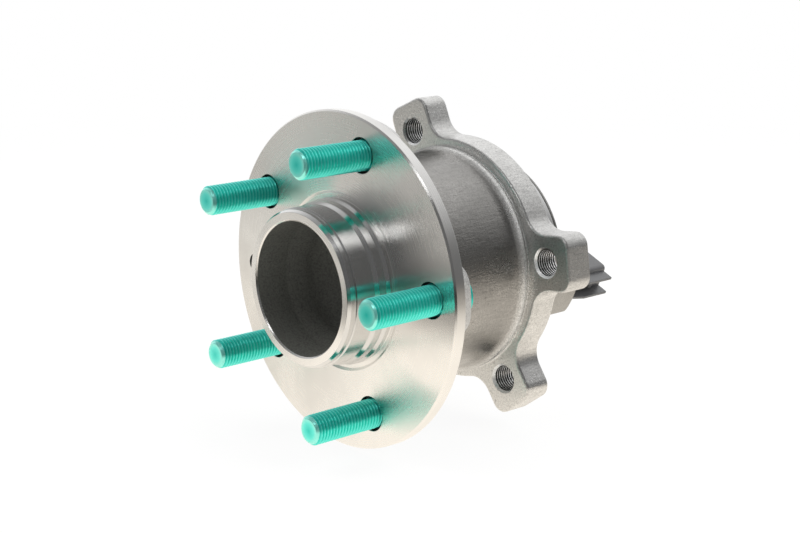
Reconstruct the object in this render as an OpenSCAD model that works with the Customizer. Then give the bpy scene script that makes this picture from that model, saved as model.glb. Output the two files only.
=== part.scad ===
// Wheel hub bearing of a non-driven axle: flanged rotor, two rows of balls, four-eared outer ring
// and a sensor cap. The hub turns about the Y axis, Y runs inboard, X to the right and Z up.
// The origin is the centre of the face that the brake disc and wheel sit on. Lengths are millimetres
// and angles are degrees, counted from +X towards +Z.

/* [Wheel flange] */
// Thickness of the wheel flange at its rim
flange_rim_w = 5.3; // [4.5:0.1:6.5]
// Thickness of the wheel flange through a stud boss
boss_w = 10.3; // [9:0.1:11]
// Radius of a stud boss where it leaves the flange
boss_base_r = 18; // [16:0.5:20]
// Radius of a stud boss at its flat back
boss_back_r = 14; // [11.5:0.5:15]
// Diameter of the circle that the wheel studs stand on
stud_pcd = 108; // [107:0.5:112]
// Width of the wheel flange outside that circle
stud_edge_w = 14; // [13:0.5:17]
// Number of wheel studs
stud_count = 5; // [5:1:5]
// Angle of the first wheel stud
stud_start_a = 2.87; // [0:0.01:12]
// Radius of the circle that the disc screw hole lies on
disc_screw_r = 55.5; // [53:0.5:58]
// Diameter of the disc screw hole, before its thread
disc_screw_d = 6.8; // [5:0.1:8.5]

/* [Spigot] */
// Diameter of the spigot that centres the wheel
wheel_pilot_d = 63.4; // [62.5:0.1:64]
// Diameter of the step that centres the brake disc
disc_pilot_d = 65.2; // [64.8:0.1:66.4]
// Height of the spigot above the wheel face
spigot_h = 20.5; // [18:0.5:26]
// Height of the brake disc step above the wheel face
disc_pilot_h = 6.3; // [5:0.1:8]
// Radius of the forged pocket at its mouth
pocket_mouth_r = 26.8; // [24:0.1:27.6]
// Depth of the forged pocket below the wheel face
pocket_depth = 12.5; // [8:0.5:14]

/* [Wheel studs] */
// Thread diameter of a wheel stud
stud_d = 12; // [10:0.5:12.5]
// Length of a wheel stud above the wheel face
stud_reach = 31; // [26:0.5:40]
// Diameter of the knurled neck of a wheel stud
knurl_d = 12.9; // [12.8:0.1:13.6]
// Diameter of the head of a wheel stud
stud_head_d = 17.6; // [16:0.1:18]
// Thickness of the head of a wheel stud
stud_head_w = 4.4; // [3:0.1:5.5]

/* [Ball rows] */
// Diameter of a ball
ball_d = 12.7; // [11.9:0.1:12.9]
// Number of balls in each row
ball_count = 13; // [11:1:13]
// Diameter of the circle that the ball centres lie on
pitch_d = 62; // [61:0.5:63]
// Distance between the two rows
row_spread = 34; // [33:0.5:35]
// Gap between a ball and the bottom of a raceway
ball_gap = 0.05; // [0.03:0.01:0.08]
// Extra radius of a raceway over the ball
race_open = 0.25; // [0.2:0.01:0.35]
// Height of the deep side of a raceway above its bottom
race_deep_h = 3.3; // [2.4:0.1:3.6]
// Height of the shallow side of a raceway above its bottom
race_low_h = 0.8; // [0.5:0.1:1.2]
// Gap between a ball and its cage pocket
pocket_gap = 0.2; // [0.1:0.01:0.3]
// Radial thickness of a cage
cage_t = 4.4; // [3.6:0.1:4.8]
// Axial width of the solid side of a cage, from the ball centres
cage_back_w = 8; // [7.6:0.1:9]
// Axial width of the open side of a cage, from the ball centres
cage_lip_w = 2.6; // [2:0.1:3.4]

/* [Outer ring] */
// Distance from the wheel face to the knuckle face
knuckle_y = 72; // [71:0.5:74]
// Thickness of the mounting flange and its ears
ear_w = 12; // [10:0.5:13]
// Radius of the barrel at its wheel end
barrel_r = 43.6; // [43:0.1:44.2]
// Radius of the shoulder in front of the mounting flange
shoulder_r = 47.3; // [46.5:0.1:48]
// Radius of the mounting flange between its ears
mount_flange_r = 50.8; // [50:0.1:52]
// Radius of the corner on the front of the mounting flange
mount_corner_r = 2.2; // [1:0.1:2.6]
// Radius of the circle that the ear holes lie on
ear_hole_r = 56; // [55:0.5:58]
// Distance from the axis to the flat end of an ear
ear_reach = 68.4; // [66:0.1:71]
// Width of an ear
ear_span = 23; // [21:0.5:25]
// Radius of the corners at the end of an ear
ear_corner_r = 5.5; // [4:0.1:7]
// Radius of the hollow between an ear and the flange
ear_neck_r = 10; // [7:0.5:13]
// Direction of the line that the ears are mirrored about
ear_mirror_a = -23.25; // [-30:0.25:-15]
// Angle from that line to each of the near pair of ears
ear_near_a = 30.95; // [30:0.05:34]
// Angle from that line to each of the far pair of ears
ear_far_a = 137.45; // [132:0.05:142]
// Diameter of the ear holes, before their thread
ear_hole_d = 10.2; // [8.5:0.1:10.8]
// Diameter of the countersink on the ear holes
ear_sink_d = 12.6; // [11.6:0.1:14]
// Diameter of the spigot that centres the unit in the knuckle
knuckle_pilot_d = 82; // [81.6:0.1:84]
// Length of that spigot behind the knuckle face
knuckle_pilot_w = 13; // [12.5:0.5:15]

/* [Seal and encoder] */
// Width of the wheel side seal
seal_w = 4.6; // [4.4:0.1:5.4]
// Thickness of the pressed steel in the seal and encoder
sheet_w = 0.8; // [0.6:0.1:1]
// Gap under a seal lip
lip_gap = 0.08; // [0.05:0.01:0.1]
// Thickness of the magnetic encoder ring
encoder_w = 1.2; // [0.8:0.1:1.6]
// Gap between the encoder ring and the sensor nose
sensor_gap = 0.8; // [0.5:0.1:1]

/* [Sensor cap] */
// Wall of the pressed sensor cap
cap_wall = 1.2; // [0.8:0.1:1.4]
// Radius of the cap behind the outer ring
cap_r = 36.6; // [35.5:0.1:37]
// Height of the cap face behind the outer ring
cap_h = 5; // [4:0.5:6]
// Radius of the sensor pod on the cap
pod_r = 38.9; // [38:0.1:40]
// Width of the sensor pod
pod_span = 21.8; // [19:0.1:24]
// Height of the sensor pod behind the outer ring
pod_h = 15; // [13:0.5:17]
// Distance from the axis to the inner side of the sensor pod
pod_in_r = 18; // [16.5:0.5:18.5]

/* [Sensor connector] */
// Length of the connector shroud behind the pod
shroud_h = 21; // [18:0.5:24]
// Width of the connector shroud
shroud_span = 13; // [12.6:0.1:13.6]
// Distance from the axis to the outer side of the shroud
shroud_out_r = 33.8; // [33:0.1:34.6]
// Depth of the shroud from its outer to its inner side
shroud_t = 13; // [12:0.1:13.6]
// Radius of the shroud corners
shroud_corner_r = 2; // [1.6:0.1:2]
// Wall of the shroud
shroud_wall = 1.5; // [1.2:0.1:1.8]
// Depth of the connector socket
socket_depth = 15; // [13:0.5:16]
// Distance between the middles of the two latch fins
fin_pitch = 7.3; // [6.4:0.1:7.6]
// Thickness of a latch fin
fin_t = 1.1; // [0.8:0.1:1.3]
// Distance between the two connector pins
pin_pitch = 3.6; // [3:0.1:4.2]
// Width of a connector pin
pin_w = 1.5; // [1:0.1:1.7]
// Thickness of a connector pin
pin_t = 0.8; // [0.6:0.1:1]
// Length of a connector pin in the socket
pin_reach = 9; // [7:0.5:9.5]

/* [Hidden] */
round_fn = 96;
torus_fn = 48;
// Radial gap at which pressed pieces are drawn
press_gap = 0.02;
// Length that a cutting tool runs past the face it cuts
over = 1;

// Wheel side radii and stations along Y
flange_r = stud_pcd / 2 + stud_edge_w;
spigot_y = -spigot_h;
lead_r = wheel_pilot_d / 2 - 0.5;
pilot_r = wheel_pilot_d / 2;
disc_pilot_r = disc_pilot_d / 2;
root_step_h = 1.5;
relief_in_r = disc_pilot_r + 0.8;
relief_depth = 0.6;
web_r = 47;
stud_hole_r = knurl_d / 2 + press_gap;
stud_sink_r = stud_hole_r + 1.2;
stud_sink_w = 2.2;
head_back_y = boss_w + stud_head_w;

// Bearing stations along Y
ball_r = ball_d / 2;
pitch_r = pitch_d / 2;
race_r = ball_r + race_open;
ring_gap = 1.6;
ring_front_y = head_back_y + ring_gap;
seal_ball_gap = 0.75;
seal_end_y = ring_front_y + seal_w;
row_out_y = seal_end_y + seal_ball_gap + ball_r;
row_in_y = row_out_y + row_spread;

// Inner raceways: bottom, deep side, shallow side and the radius that the ring of tool centres runs on
in_bottom_r = pitch_r - ball_r - ball_gap;
in_centre_r = in_bottom_r + race_r;
in_deep_r = in_bottom_r + race_deep_h;
in_low_r = in_bottom_r + race_low_h;
// Outer raceways
out_bottom_r = pitch_r + ball_r + ball_gap;
out_centre_r = out_bottom_r - race_r;
out_deep_r = out_bottom_r - race_deep_h + 0.1;
out_low_r = out_bottom_r - 0.3;

// Rotor spindle and inner ring
land_r = in_deep_r + 1.1;
inner_front_w = 14;
inner_back_w = 16;
inner_front_y = row_in_y - inner_front_w;
inner_back_y = row_in_y + inner_back_w;
spindle_r = 20;
lip_r = 25;
lip_w = 4.6;
recess_r = 14.5;
recess_depth = 8.6;

// Outer ring
seal_bore_r = out_bottom_r + 0.6;
seal_web_w = 6.4;
cap_bore_r = out_bottom_r + 0.2;
mount_front_y = knuckle_y - ear_w;
knuckle_pilot_r = knuckle_pilot_d / 2;
ring_back_y = knuckle_y + knuckle_pilot_w;
cap_seat_w = 12;
cap_seat_y = row_in_y + cap_seat_w;
o_groove = 1.8;
relief_w = 0.5;
shoulder_w = 3;
shoulder_lead_w = 7;
barrel_step_w = 14;
ear_root_r = knuckle_pilot_r + 3;
ear_half = ear_span / 2;
ear_sink_w = (ear_sink_d - ear_hole_d) / 2;
ear_angles = [ear_mirror_a + ear_far_a, ear_mirror_a + ear_near_a,
              ear_mirror_a - ear_near_a, ear_mirror_a - ear_far_a];

// Encoder and sensor
encoder_r = out_bottom_r - 2;
carrier_w = 5.5;
encoder_y = inner_back_y + encoder_w;
nose_y = encoder_y + sensor_gap;
nose_r = 3.6;
nose_centre_r = encoder_r - nose_r + 0.4;
cap_face_y = ring_back_y + cap_h;
pod_y = ring_back_y + pod_h;
pod_floor_y = cap_face_y - cap_wall;
housing_gap = 0.05;
shroud_y = pod_y + shroud_h;
shroud_half = shroud_span / 2;
shroud_in_r = shroud_out_r - shroud_t;
shroud_mid_r = (shroud_out_r + shroud_in_r) / 2;
socket_y = shroud_y - socket_depth;
fin_foot_w = 7;
fin_foot_drop = 1.8;
fin_end_drop = 0.3;
pin_root = 4;

// Spins a closed outline of [radius, y] points about the Y axis
module spun(points) {
    rotate([-90, 0, 0]) rotate_extrude($fn = round_fn) polygon(points);
}

// Ring of round section about the Y axis
module hoop(centre_r, y, section_r) {
    translate([0, y, 0]) rotate([-90, 0, 0])
        rotate_extrude($fn = round_fn) translate([centre_r, 0]) circle(r = section_r, $fn = torus_fn);
}

// Round bar along Y from y0 to y1, with its own radius at each end
module bar(y0, y1, r0, r1) {
    translate([0, y0, 0]) rotate([-90, 0, 0]) cylinder(h = y1 - y0, r1 = r0, r2 = r1, $fn = round_fn);
}

// Flat outline seen from the wheel side, extruded along Y from y0 to y1
module plate(y0, y1) {
    translate([0, y1, 0]) rotate([90, 0, 0]) linear_extrude(height = y1 - y0) children();
}

// Turns its children about Y to an angle and carries them out to a radius
module place(angle, radius) {
    rotate([0, -angle, 0]) translate([radius, 0, 0]) children();
}

function stud_angle(i) = stud_start_a + i * 360 / stud_count;

// Points of an arc from angle a0 to angle a1 in equal steps
function arc(centre_r, centre_y, r, a0, a1, steps) =
    [for (i = [0:steps]) let (a = a0 + (a1 - a0) * i / steps) [centre_r + r * cos(a), centre_y + r * sin(a)]];

// Spigot, wheel face, rim, back web, seal land, raceway shoulders, spindle and rolled lip
module hub_blank() {
    spun(concat(
        [[0, spigot_y], [lead_r - 0.9, spigot_y], [lead_r, spigot_y + 1.3], [lead_r, spigot_y + 3.2],
         [pilot_r, spigot_y + 3.6], [pilot_r, -disc_pilot_h - 1.7], [disc_pilot_r, -disc_pilot_h],
         [disc_pilot_r, -root_step_h - 1.5], [relief_in_r, -root_step_h], [relief_in_r, relief_depth],
         [relief_in_r + 1.8, relief_depth], [relief_in_r + 2.8, 0], [flange_r - 0.7, 0], [flange_r, 0.7],
         [flange_r, flange_rim_w - 0.5], [flange_r - 0.5, flange_rim_w], [web_r + 4, flange_rim_w],
         [web_r - 3, boss_w - 0.8], [land_r + 5, boss_w - 0.8], [land_r + 1.2, boss_w + 0.8],
         [land_r, boss_w + 3], [land_r, seal_end_y - 0.3], [in_deep_r, seal_end_y + 0.5],
         [in_deep_r, row_out_y], [in_low_r, row_out_y], [in_low_r, inner_front_y - 1],
         [in_low_r - 1, inner_front_y], [spindle_r, inner_front_y], [spindle_r, inner_back_y],
         [lip_r - 0.6, inner_back_y]],
        arc(lip_r - 2, inner_back_y + lip_w - 2.4, 2.4, 0, 90, 4),
        [[spindle_r - 2.5, inner_back_y + lip_w - 0.4], [recess_r + 1, inner_back_y + lip_w - 2.6],
         [recess_r, inner_back_y + lip_w - recess_depth], [0, inner_back_y + lip_w - recess_depth]]));
}

// Tapered bosses behind the flange, trimmed to the rim
module stud_bosses() {
    intersection() {
        for (i = [0:stud_count - 1]) place(stud_angle(i), stud_pcd / 2)
            bar(flange_rim_w - 0.4, boss_w, boss_base_r, boss_back_r);
        spun([[0, 0], [flange_r - 0.5, 0], [flange_r - 0.5, flange_rim_w], [flange_r - 1.8, boss_w],
              [0, boss_w]]);
    }
}

// Forged pocket inside the spigot, with a rounded bottom and a centre drilling
module hub_pocket() {
    round_r = 11;
    wall_r = pocket_mouth_r - 3.2;
    spun(concat(
        [[0, spigot_y - over], [pocket_mouth_r + 0.7, spigot_y - over], [pocket_mouth_r + 0.7, spigot_y],
         [pocket_mouth_r, spigot_y + 0.7], [pocket_mouth_r - 0.9, spigot_y * 0.3]],
        arc(wall_r - round_r, pocket_depth - round_r, round_r, 0, 84, 6),
        [[0, pocket_depth]]));
    bar(pocket_depth - over, pocket_depth + 3, 2.2, 0.6);
}

module wheel_hub() {
    color([0.74, 0.72, 0.70]) difference() {
        union() {
            hub_blank();
            stud_bosses();
        }
        hub_pocket();
        hoop(in_centre_r, row_out_y, race_r);
        for (i = [0:stud_count - 1]) place(stud_angle(i), stud_pcd / 2) {
            bar(-over, boss_w + over, stud_hole_r, stud_hole_r);
            bar(-over, stud_sink_w, stud_sink_r, stud_sink_r);
        }
        place(stud_angle(2) + 180 / stud_count, disc_screw_r) {
            bar(-over, flange_rim_w + over, disc_screw_d / 2, disc_screw_d / 2);
            bar(-over, 1.1, disc_screw_d / 2 + 1.1 + over, disc_screw_d / 2);
        }
    }
}

// Stud with a pointed thread end, a knurled neck in the boss and a round head behind it
module wheel_stud(i) {
    thread_r = stud_d / 2;
    tip_bevel = 1.5;
    color([0.08, 0.62, 0.53]) place(stud_angle(i), stud_pcd / 2)
        spun([[0, -stud_reach], [thread_r - tip_bevel, -stud_reach],
              [thread_r, -stud_reach + tip_bevel], [thread_r, stud_sink_w - 0.5],
              [knurl_d / 2, stud_sink_w + 0.1], [knurl_d / 2, boss_w],
              [stud_head_d / 2, boss_w], [stud_head_d / 2, head_back_y - 1],
              [stud_head_d / 2 - 1.2, head_back_y], [0, head_back_y]]);
}

// Barrel that widens to a rounded shoulder, a groove, the flange and the knuckle spigot
module ring_blank() {
    shoulder_y = mount_front_y - shoulder_w;
    spun(concat(
        [[seal_bore_r - 3, ring_front_y], [barrel_r - 0.8, ring_front_y], [barrel_r, ring_front_y + 0.8],
         [barrel_r + 0.6, ring_front_y + barrel_step_w], [barrel_r + 1.2, shoulder_y - shoulder_lead_w],
         [shoulder_r - 1, shoulder_y - 2.6]],
        arc(shoulder_r - 1.6, shoulder_y - 0.2, 1.6, -50, 60, 5),
        [[shoulder_r - 1.3, mount_front_y - 0.9], [shoulder_r - 0.9, mount_front_y]],
        arc(mount_flange_r - mount_corner_r, mount_front_y + mount_corner_r, mount_corner_r, -90, 0, 6),
        [[mount_flange_r, knuckle_y - 0.8], [mount_flange_r - 0.8, knuckle_y],
         [knuckle_pilot_r + relief_w, knuckle_y], [knuckle_pilot_r - relief_w, knuckle_y - relief_w],
         [knuckle_pilot_r - relief_w, knuckle_y + 1.2],
         [knuckle_pilot_r, knuckle_y + 1.7], [knuckle_pilot_r, ring_back_y - 0.8],
         [knuckle_pilot_r - 0.8, ring_back_y], [seal_bore_r - 3, ring_back_y]]));
}

// Flat ear along +X with rounded corners
module ear_outline() {
    straight = ear_reach - ear_corner_r;
    translate([ear_root_r, -ear_half]) square([straight - ear_root_r, ear_span]);
    translate([straight - over, -ear_half + ear_corner_r])
        square([ear_corner_r + over, ear_span - 2 * ear_corner_r]);
    for (side = [-1, 1]) translate([straight, side * (ear_half - ear_corner_r)])
        circle(r = ear_corner_r, $fn = round_fn);
}

// Hollow that blends one side of an ear into the flange and runs a little way into its rim
module ear_neck() {
    bite = 0.3;
    reach = mount_flange_r + ear_neck_r - bite;
    out = ear_half + ear_neck_r;
    along = sqrt(reach * reach - out * out);
    share = (mount_flange_r - over) / reach;
    difference() {
        polygon([[ear_root_r, 0], [along * share, out * share], [along, out], [along, ear_half - over]]);
        translate([along, out]) circle(r = ear_neck_r, $fn = round_fn);
    }
}

module ears() {
    for (a = ear_angles) plate(mount_front_y, knuckle_y) rotate(a) {
        ear_outline();
        ear_neck();
        mirror([0, 1]) ear_neck();
    }
}

// Bore of the outer ring: seal seat, shallow lips, middle land and cap seat
module ring_bore() {
    spun([[0, ring_front_y - over], [seal_bore_r + 0.5, ring_front_y - over],
          [seal_bore_r + 0.5, ring_front_y], [seal_bore_r, ring_front_y + 0.5],
          [seal_bore_r, seal_end_y], [out_low_r, seal_end_y], [out_low_r, row_out_y],
          [out_deep_r, row_out_y], [out_deep_r, row_in_y], [out_low_r, row_in_y],
          [out_low_r, cap_seat_y], [cap_bore_r, cap_seat_y], [cap_bore_r, ring_back_y - o_groove],
          [cap_bore_r + o_groove, ring_back_y], [cap_bore_r + o_groove, ring_back_y + over],
          [0, ring_back_y + over]]);
}

module outer_ring() {
    color([0.45, 0.43, 0.40]) difference() {
        union() {
            ring_blank();
            ears();
        }
        ring_bore();
        hoop(out_centre_r, row_out_y, race_r);
        hoop(out_centre_r, row_in_y, race_r);
        for (a = ear_angles) place(a, ear_hole_r) {
            bar(mount_front_y - over, knuckle_y + over, ear_hole_d / 2, ear_hole_d / 2);
            bar(mount_front_y - over, mount_front_y + ear_sink_w, ear_sink_d / 2 + over, ear_hole_d / 2);
            bar(knuckle_y - ear_sink_w, knuckle_y + over, ear_hole_d / 2, ear_sink_d / 2 + over);
        }
    }
}

// Separate raceway of the knuckle side row, pressed on the spindle and held by the rolled lip
module inner_ring() {
    bore_r = spindle_r + press_gap;
    color([0.80, 0.80, 0.82]) difference() {
        spun([[bore_r, inner_front_y], [in_low_r - 1, inner_front_y], [in_low_r, inner_front_y + 1],
              [in_low_r, row_in_y], [in_deep_r, row_in_y], [in_deep_r, inner_back_y - 0.5],
              [in_deep_r - 0.5, inner_back_y], [bore_r, inner_back_y]]);
        hoop(in_centre_r, row_in_y, race_r);
    }
}

module ball_row(y) {
    color([0.85, 0.85, 0.87]) for (i = [0:ball_count - 1]) place(i * 360 / ball_count, pitch_r)
        translate([0, y, 0]) rotate([-90, 0, 0]) sphere(r = ball_r, $fn = torus_fn);
}

// Crown cage: a ring on one side of the balls with fingers between them. side is 1 or -1 along Y
module crown_cage(y, side) {
    inner = pitch_r - cage_t / 2;
    outer = pitch_r + cage_t / 2;
    back = side * cage_back_w;
    lip = -side * cage_lip_w;
    color([0.62, 0.50, 0.30]) difference() {
        spun([[inner, y + min(back, lip)], [outer, y + min(back, lip)], [outer, y + max(back, lip)],
              [inner, y + max(back, lip)]]);
        for (i = [0:ball_count - 1]) place(i * 360 / ball_count, pitch_r)
            translate([0, y, 0]) rotate([-90, 0, 0]) sphere(r = ball_r + pocket_gap, $fn = torus_fn);
    }
}

// Pressed steel ring on the rotor that throws water off, inside the mouth of the seal
module outboard_flinger() {
    bore_r = land_r + press_gap;
    front = ring_front_y + 0.4;
    color([0.70, 0.71, 0.72])
        spun([[bore_r, front], [seal_bore_r - sheet_w - 0.7, front],
              [seal_bore_r - sheet_w - 0.7, front + sheet_w], [bore_r + sheet_w, front + sheet_w],
              [bore_r + sheet_w, seal_end_y - 0.4], [bore_r, seal_end_y - 0.4]]);
}

module outboard_seal_case() {
    case_r = seal_bore_r - press_gap;
    back = seal_end_y - press_gap;
    color([0.60, 0.61, 0.62])
        spun([[case_r - sheet_w, ring_front_y + 0.3], [case_r, ring_front_y + 0.3], [case_r, back],
              [case_r - seal_web_w, back], [case_r - seal_web_w, back - sheet_w], [case_r - sheet_w, back - sheet_w]]);
}

// Rubber moulded on the case: one lip runs on the flinger sleeve, one on its face
module outboard_seal_lip() {
    web_y = seal_end_y - press_gap - sheet_w;
    edge_r = seal_bore_r - press_gap - seal_web_w;
    sleeve_r = land_r + press_gap + sheet_w + lip_gap;
    face_y = ring_front_y + 0.4 + sheet_w + lip_gap;
    color([0.10, 0.10, 0.10])
        spun([[sleeve_r, web_y - 0.1], [sleeve_r + 0.9, web_y - 0.6], [edge_r + 0.9, web_y - 0.5],
              [edge_r + 1.9, face_y], [edge_r + 2.5, face_y], [edge_r + 2.2, web_y - 0.5],
              [edge_r + 3.9, web_y - 0.4], [edge_r + 4.1, web_y], [edge_r, web_y],
              [edge_r, web_y + sheet_w], [edge_r - 0.8, web_y + sheet_w],
              [sleeve_r, web_y + 0.5]]);
}

module encoder_carrier() {
    bore_r = in_deep_r + press_gap;
    color([0.66, 0.67, 0.68])
        spun([[bore_r, inner_back_y - carrier_w], [bore_r + sheet_w, inner_back_y - carrier_w],
              [bore_r + sheet_w, inner_back_y - sheet_w], [encoder_r, inner_back_y - sheet_w],
              [encoder_r, inner_back_y], [bore_r, inner_back_y]]);
}

module encoder_ring() {
    color([0.16, 0.13, 0.12])
        spun([[in_deep_r + 1.2, inner_back_y], [encoder_r, inner_back_y], [encoder_r, encoder_y],
              [in_deep_r + 1.2, encoder_y]]);
}

// Outline of the sensor pod, drawn along +X and grown or shrunk by a wall
module pod_outline(wall) {
    intersection() {
        circle(r = pod_r - wall, $fn = round_fn);
        translate([pod_in_r + wall, -pod_span / 2 + wall])
            square([pod_r, pod_span - 2 * wall]);
    }
}

// Pressed cap with a skirt in the outer ring, a collar on its end and a raised pod for the sensor
module sensor_cap() {
    skirt_w = 4.4;
    skirt_r = cap_bore_r - press_gap;
    collar_r = cap_bore_r + o_groove + 0.7;
    collar_y = ring_back_y + cap_wall;
    color([0.62, 0.61, 0.58]) difference() {
        union() {
            spun([[skirt_r - cap_wall, ring_back_y - skirt_w], [skirt_r, ring_back_y - skirt_w],
                  [skirt_r, ring_back_y], [collar_r, ring_back_y], [collar_r, collar_y],
                  [cap_r, collar_y], [cap_r, cap_face_y - 1], [cap_r - 1, cap_face_y], [0, cap_face_y],
                  [0, pod_floor_y], [cap_r - cap_wall, pod_floor_y], [cap_r - cap_wall, collar_y],
                  [skirt_r - cap_wall, ring_back_y]]);
            plate(collar_y, pod_y) rotate(ear_mirror_a) pod_outline(0);
        }
        plate(pod_floor_y, pod_y - cap_wall) rotate(ear_mirror_a) pod_outline(cap_wall);
        plate(pod_y - cap_wall - over, pod_y + over) rotate(ear_mirror_a) shroud_outline(housing_gap);
        place(ear_mirror_a, nose_centre_r)
            bar(ring_back_y - over, cap_face_y, nose_r + housing_gap, nose_r + housing_gap);
    }
}

// Rubber ring in the corner between the outer ring, the cap skirt and its collar
module cap_seal_ring() {
    section_r = 0.5;
    color([0.12, 0.12, 0.12])
        hoop(cap_bore_r + section_r + press_gap, ring_back_y - section_r - press_gap, section_r);
}

// Outline of the connector shroud along +X, grown by a gap
module shroud_outline(gap) {
    c = shroud_corner_r;
    w = shroud_half + gap;
    low = shroud_in_r - gap;
    high = shroud_out_r + gap;
    translate([low, -w + c]) square([high - low, 2 * (w - c)]);
    translate([low + c, -w]) square([high - low - 2 * c, 2 * w]);
    for (x = [low + c, high - c], z = [-w + c, w - c]) translate([x, z]) circle(r = c, $fn = round_fn);
}

// Hollow of the connector shroud along +X
module socket_outline() {
    c = shroud_corner_r - shroud_wall;
    w = shroud_half - shroud_wall;
    low = shroud_in_r + shroud_wall;
    high = shroud_out_r - shroud_wall;
    translate([low, -w + c]) square([high - low, 2 * (w - c)]);
    translate([low + c, -w]) square([high - low - 2 * c, 2 * w]);
    for (x = [low + c, high - c], z = [-w + c, w - c]) translate([x, z]) circle(r = c, $fn = round_fn);
}

// Fin beside the latch, as an outline of [radius, y] points given a thickness
module latch_fin(side) {
    foot = shroud_out_r - over;
    rotate([0, -ear_mirror_a, 0]) translate([0, 0, side * fin_pitch / 2 - fin_t / 2])
        linear_extrude(height = fin_t)
            polygon([[foot, pod_y], [pod_r - fin_foot_drop, pod_y], [pod_r, pod_y + fin_foot_w],
                     [pod_r, shroud_y - fin_end_drop], [foot, shroud_y - fin_end_drop]]);
}

// Ramp that the latch of the mating plug snaps over
module latch_ramp() {
    ramp_span = fin_pitch - fin_t - 2;
    rotate([0, -ear_mirror_a, 0]) translate([0, 0, -ramp_span / 2]) linear_extrude(height = ramp_span)
        polygon([[shroud_out_r - 0.5, shroud_y - 10], [shroud_out_r + 1.6, shroud_y - 9.4],
                 [shroud_out_r + 1.6, shroud_y - 7.6], [shroud_out_r - 0.5, shroud_y - 3.4]]);
}

module sensor_housing() {
    color([0.20, 0.20, 0.21]) difference() {
        union() {
            plate(pod_floor_y + housing_gap, pod_y - cap_wall - housing_gap) rotate(ear_mirror_a)
                pod_outline(cap_wall + housing_gap);
            plate(pod_y - cap_wall - over, shroud_y) rotate(ear_mirror_a) shroud_outline(0);
            place(ear_mirror_a, nose_centre_r) bar(nose_y, cap_face_y, nose_r, nose_r);
            for (side = [-1, 1]) latch_fin(side);
            latch_ramp();
        }
        plate(socket_y, shroud_y + over) rotate(ear_mirror_a) socket_outline();
        chip_space(housing_gap);
        for (side = [-1, 1]) pin_space(side, housing_gap);
    }
}

// Sensing chip moulded in the nose, grown by a gap where it is cut out of the housing
module chip_space(gap) {
    rotate([0, -ear_mirror_a, 0])
        translate([nose_centre_r - 2 - gap, nose_y + 0.8 - gap, -2 - gap])
            cube([4 + 2 * gap, 1.2 + 2 * gap, 4 + 2 * gap]);
}

module sensor_chip() {
    color([0.08, 0.08, 0.09]) chip_space(0);
}

module pin_space(side, gap) {
    rotate([0, -ear_mirror_a, 0])
        translate([shroud_mid_r - pin_t / 2 - gap, socket_y - pin_root - gap,
                   side * pin_pitch / 2 - pin_w / 2 - gap])
            cube([pin_t + 2 * gap, pin_root + pin_reach + gap, pin_w + 2 * gap]);
}

module connector_pins() {
    color([0.80, 0.66, 0.36]) for (side = [-1, 1]) pin_space(side, 0);
}

wheel_hub();
wheel_stud(0);  // wheel_stud_1
wheel_stud(1);  // wheel_stud_2
wheel_stud(2);  // wheel_stud_3
wheel_stud(3);  // wheel_stud_4
wheel_stud(4);  // wheel_stud_5
outer_ring();
inner_ring();
ball_row(row_out_y);  // outboard_balls
ball_row(row_in_y);  // inboard_balls
crown_cage(row_out_y, 1);  // outboard_cage
crown_cage(row_in_y, -1);  // inboard_cage
outboard_flinger();
outboard_seal_case();
outboard_seal_lip();
encoder_carrier();
encoder_ring();
sensor_cap();
cap_seal_ring();
sensor_housing();
sensor_chip();
connector_pins();
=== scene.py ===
"""Looks of a flanged wheel hub bearing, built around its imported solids.

Sizes are in metres. The hub turns about the Y axis, Y runs inboard, X to the right and Z up.
Profiles are written in millimetres as [radius, y] or [offset, height], each with the radius of its corner.
"""
import math

import bpy
import numpy as np
from bpy.props import (
    FloatProperty, FloatVectorProperty, IntProperty, PointerProperty,
)
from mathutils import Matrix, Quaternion, Vector

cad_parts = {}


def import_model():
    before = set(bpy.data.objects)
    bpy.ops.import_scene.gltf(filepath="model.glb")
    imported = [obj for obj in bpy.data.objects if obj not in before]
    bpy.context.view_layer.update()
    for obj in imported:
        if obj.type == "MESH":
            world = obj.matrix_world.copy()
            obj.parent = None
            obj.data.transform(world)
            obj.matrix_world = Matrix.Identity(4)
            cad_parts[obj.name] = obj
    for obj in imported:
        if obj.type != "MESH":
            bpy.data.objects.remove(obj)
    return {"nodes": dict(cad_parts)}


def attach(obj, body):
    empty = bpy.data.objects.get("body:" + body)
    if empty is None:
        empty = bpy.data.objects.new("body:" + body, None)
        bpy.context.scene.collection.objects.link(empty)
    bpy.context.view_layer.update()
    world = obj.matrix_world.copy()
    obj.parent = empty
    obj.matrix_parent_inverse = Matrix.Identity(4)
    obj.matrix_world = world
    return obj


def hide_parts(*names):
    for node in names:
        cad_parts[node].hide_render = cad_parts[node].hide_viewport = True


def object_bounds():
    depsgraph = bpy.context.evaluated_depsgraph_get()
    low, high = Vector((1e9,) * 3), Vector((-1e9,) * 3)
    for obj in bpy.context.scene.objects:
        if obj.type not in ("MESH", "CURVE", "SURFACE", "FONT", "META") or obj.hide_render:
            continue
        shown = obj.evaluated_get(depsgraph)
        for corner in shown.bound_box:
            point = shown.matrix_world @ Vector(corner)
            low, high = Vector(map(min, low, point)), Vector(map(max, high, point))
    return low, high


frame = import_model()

CAD_BOX = [list(corner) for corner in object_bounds()]

bl_info = {
    "name": "Wheel hub bearing",
    "version": (1, 0, 0),
    "blender": (4, 5, 0),
    "location": "View3D > Sidebar > Hub bearing",
    "description": "Dresses the solids of a flanged wheel hub bearing",
    "category": "Object",
}

MM = 0.001
FULL_TURN = 2 * math.pi
ROUND = 240
STATIONARY = "stationary_unit"
ROTOR = "rotor"
WHITE = (1.0, 1.0, 1.0)


# Sizes and colours that a user would change

def length(text, millimetres):
    """Property for a length, given in millimetres and held in metres."""
    return FloatProperty(description=text, default=millimetres * MM, unit="LENGTH", precision=5)


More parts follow.
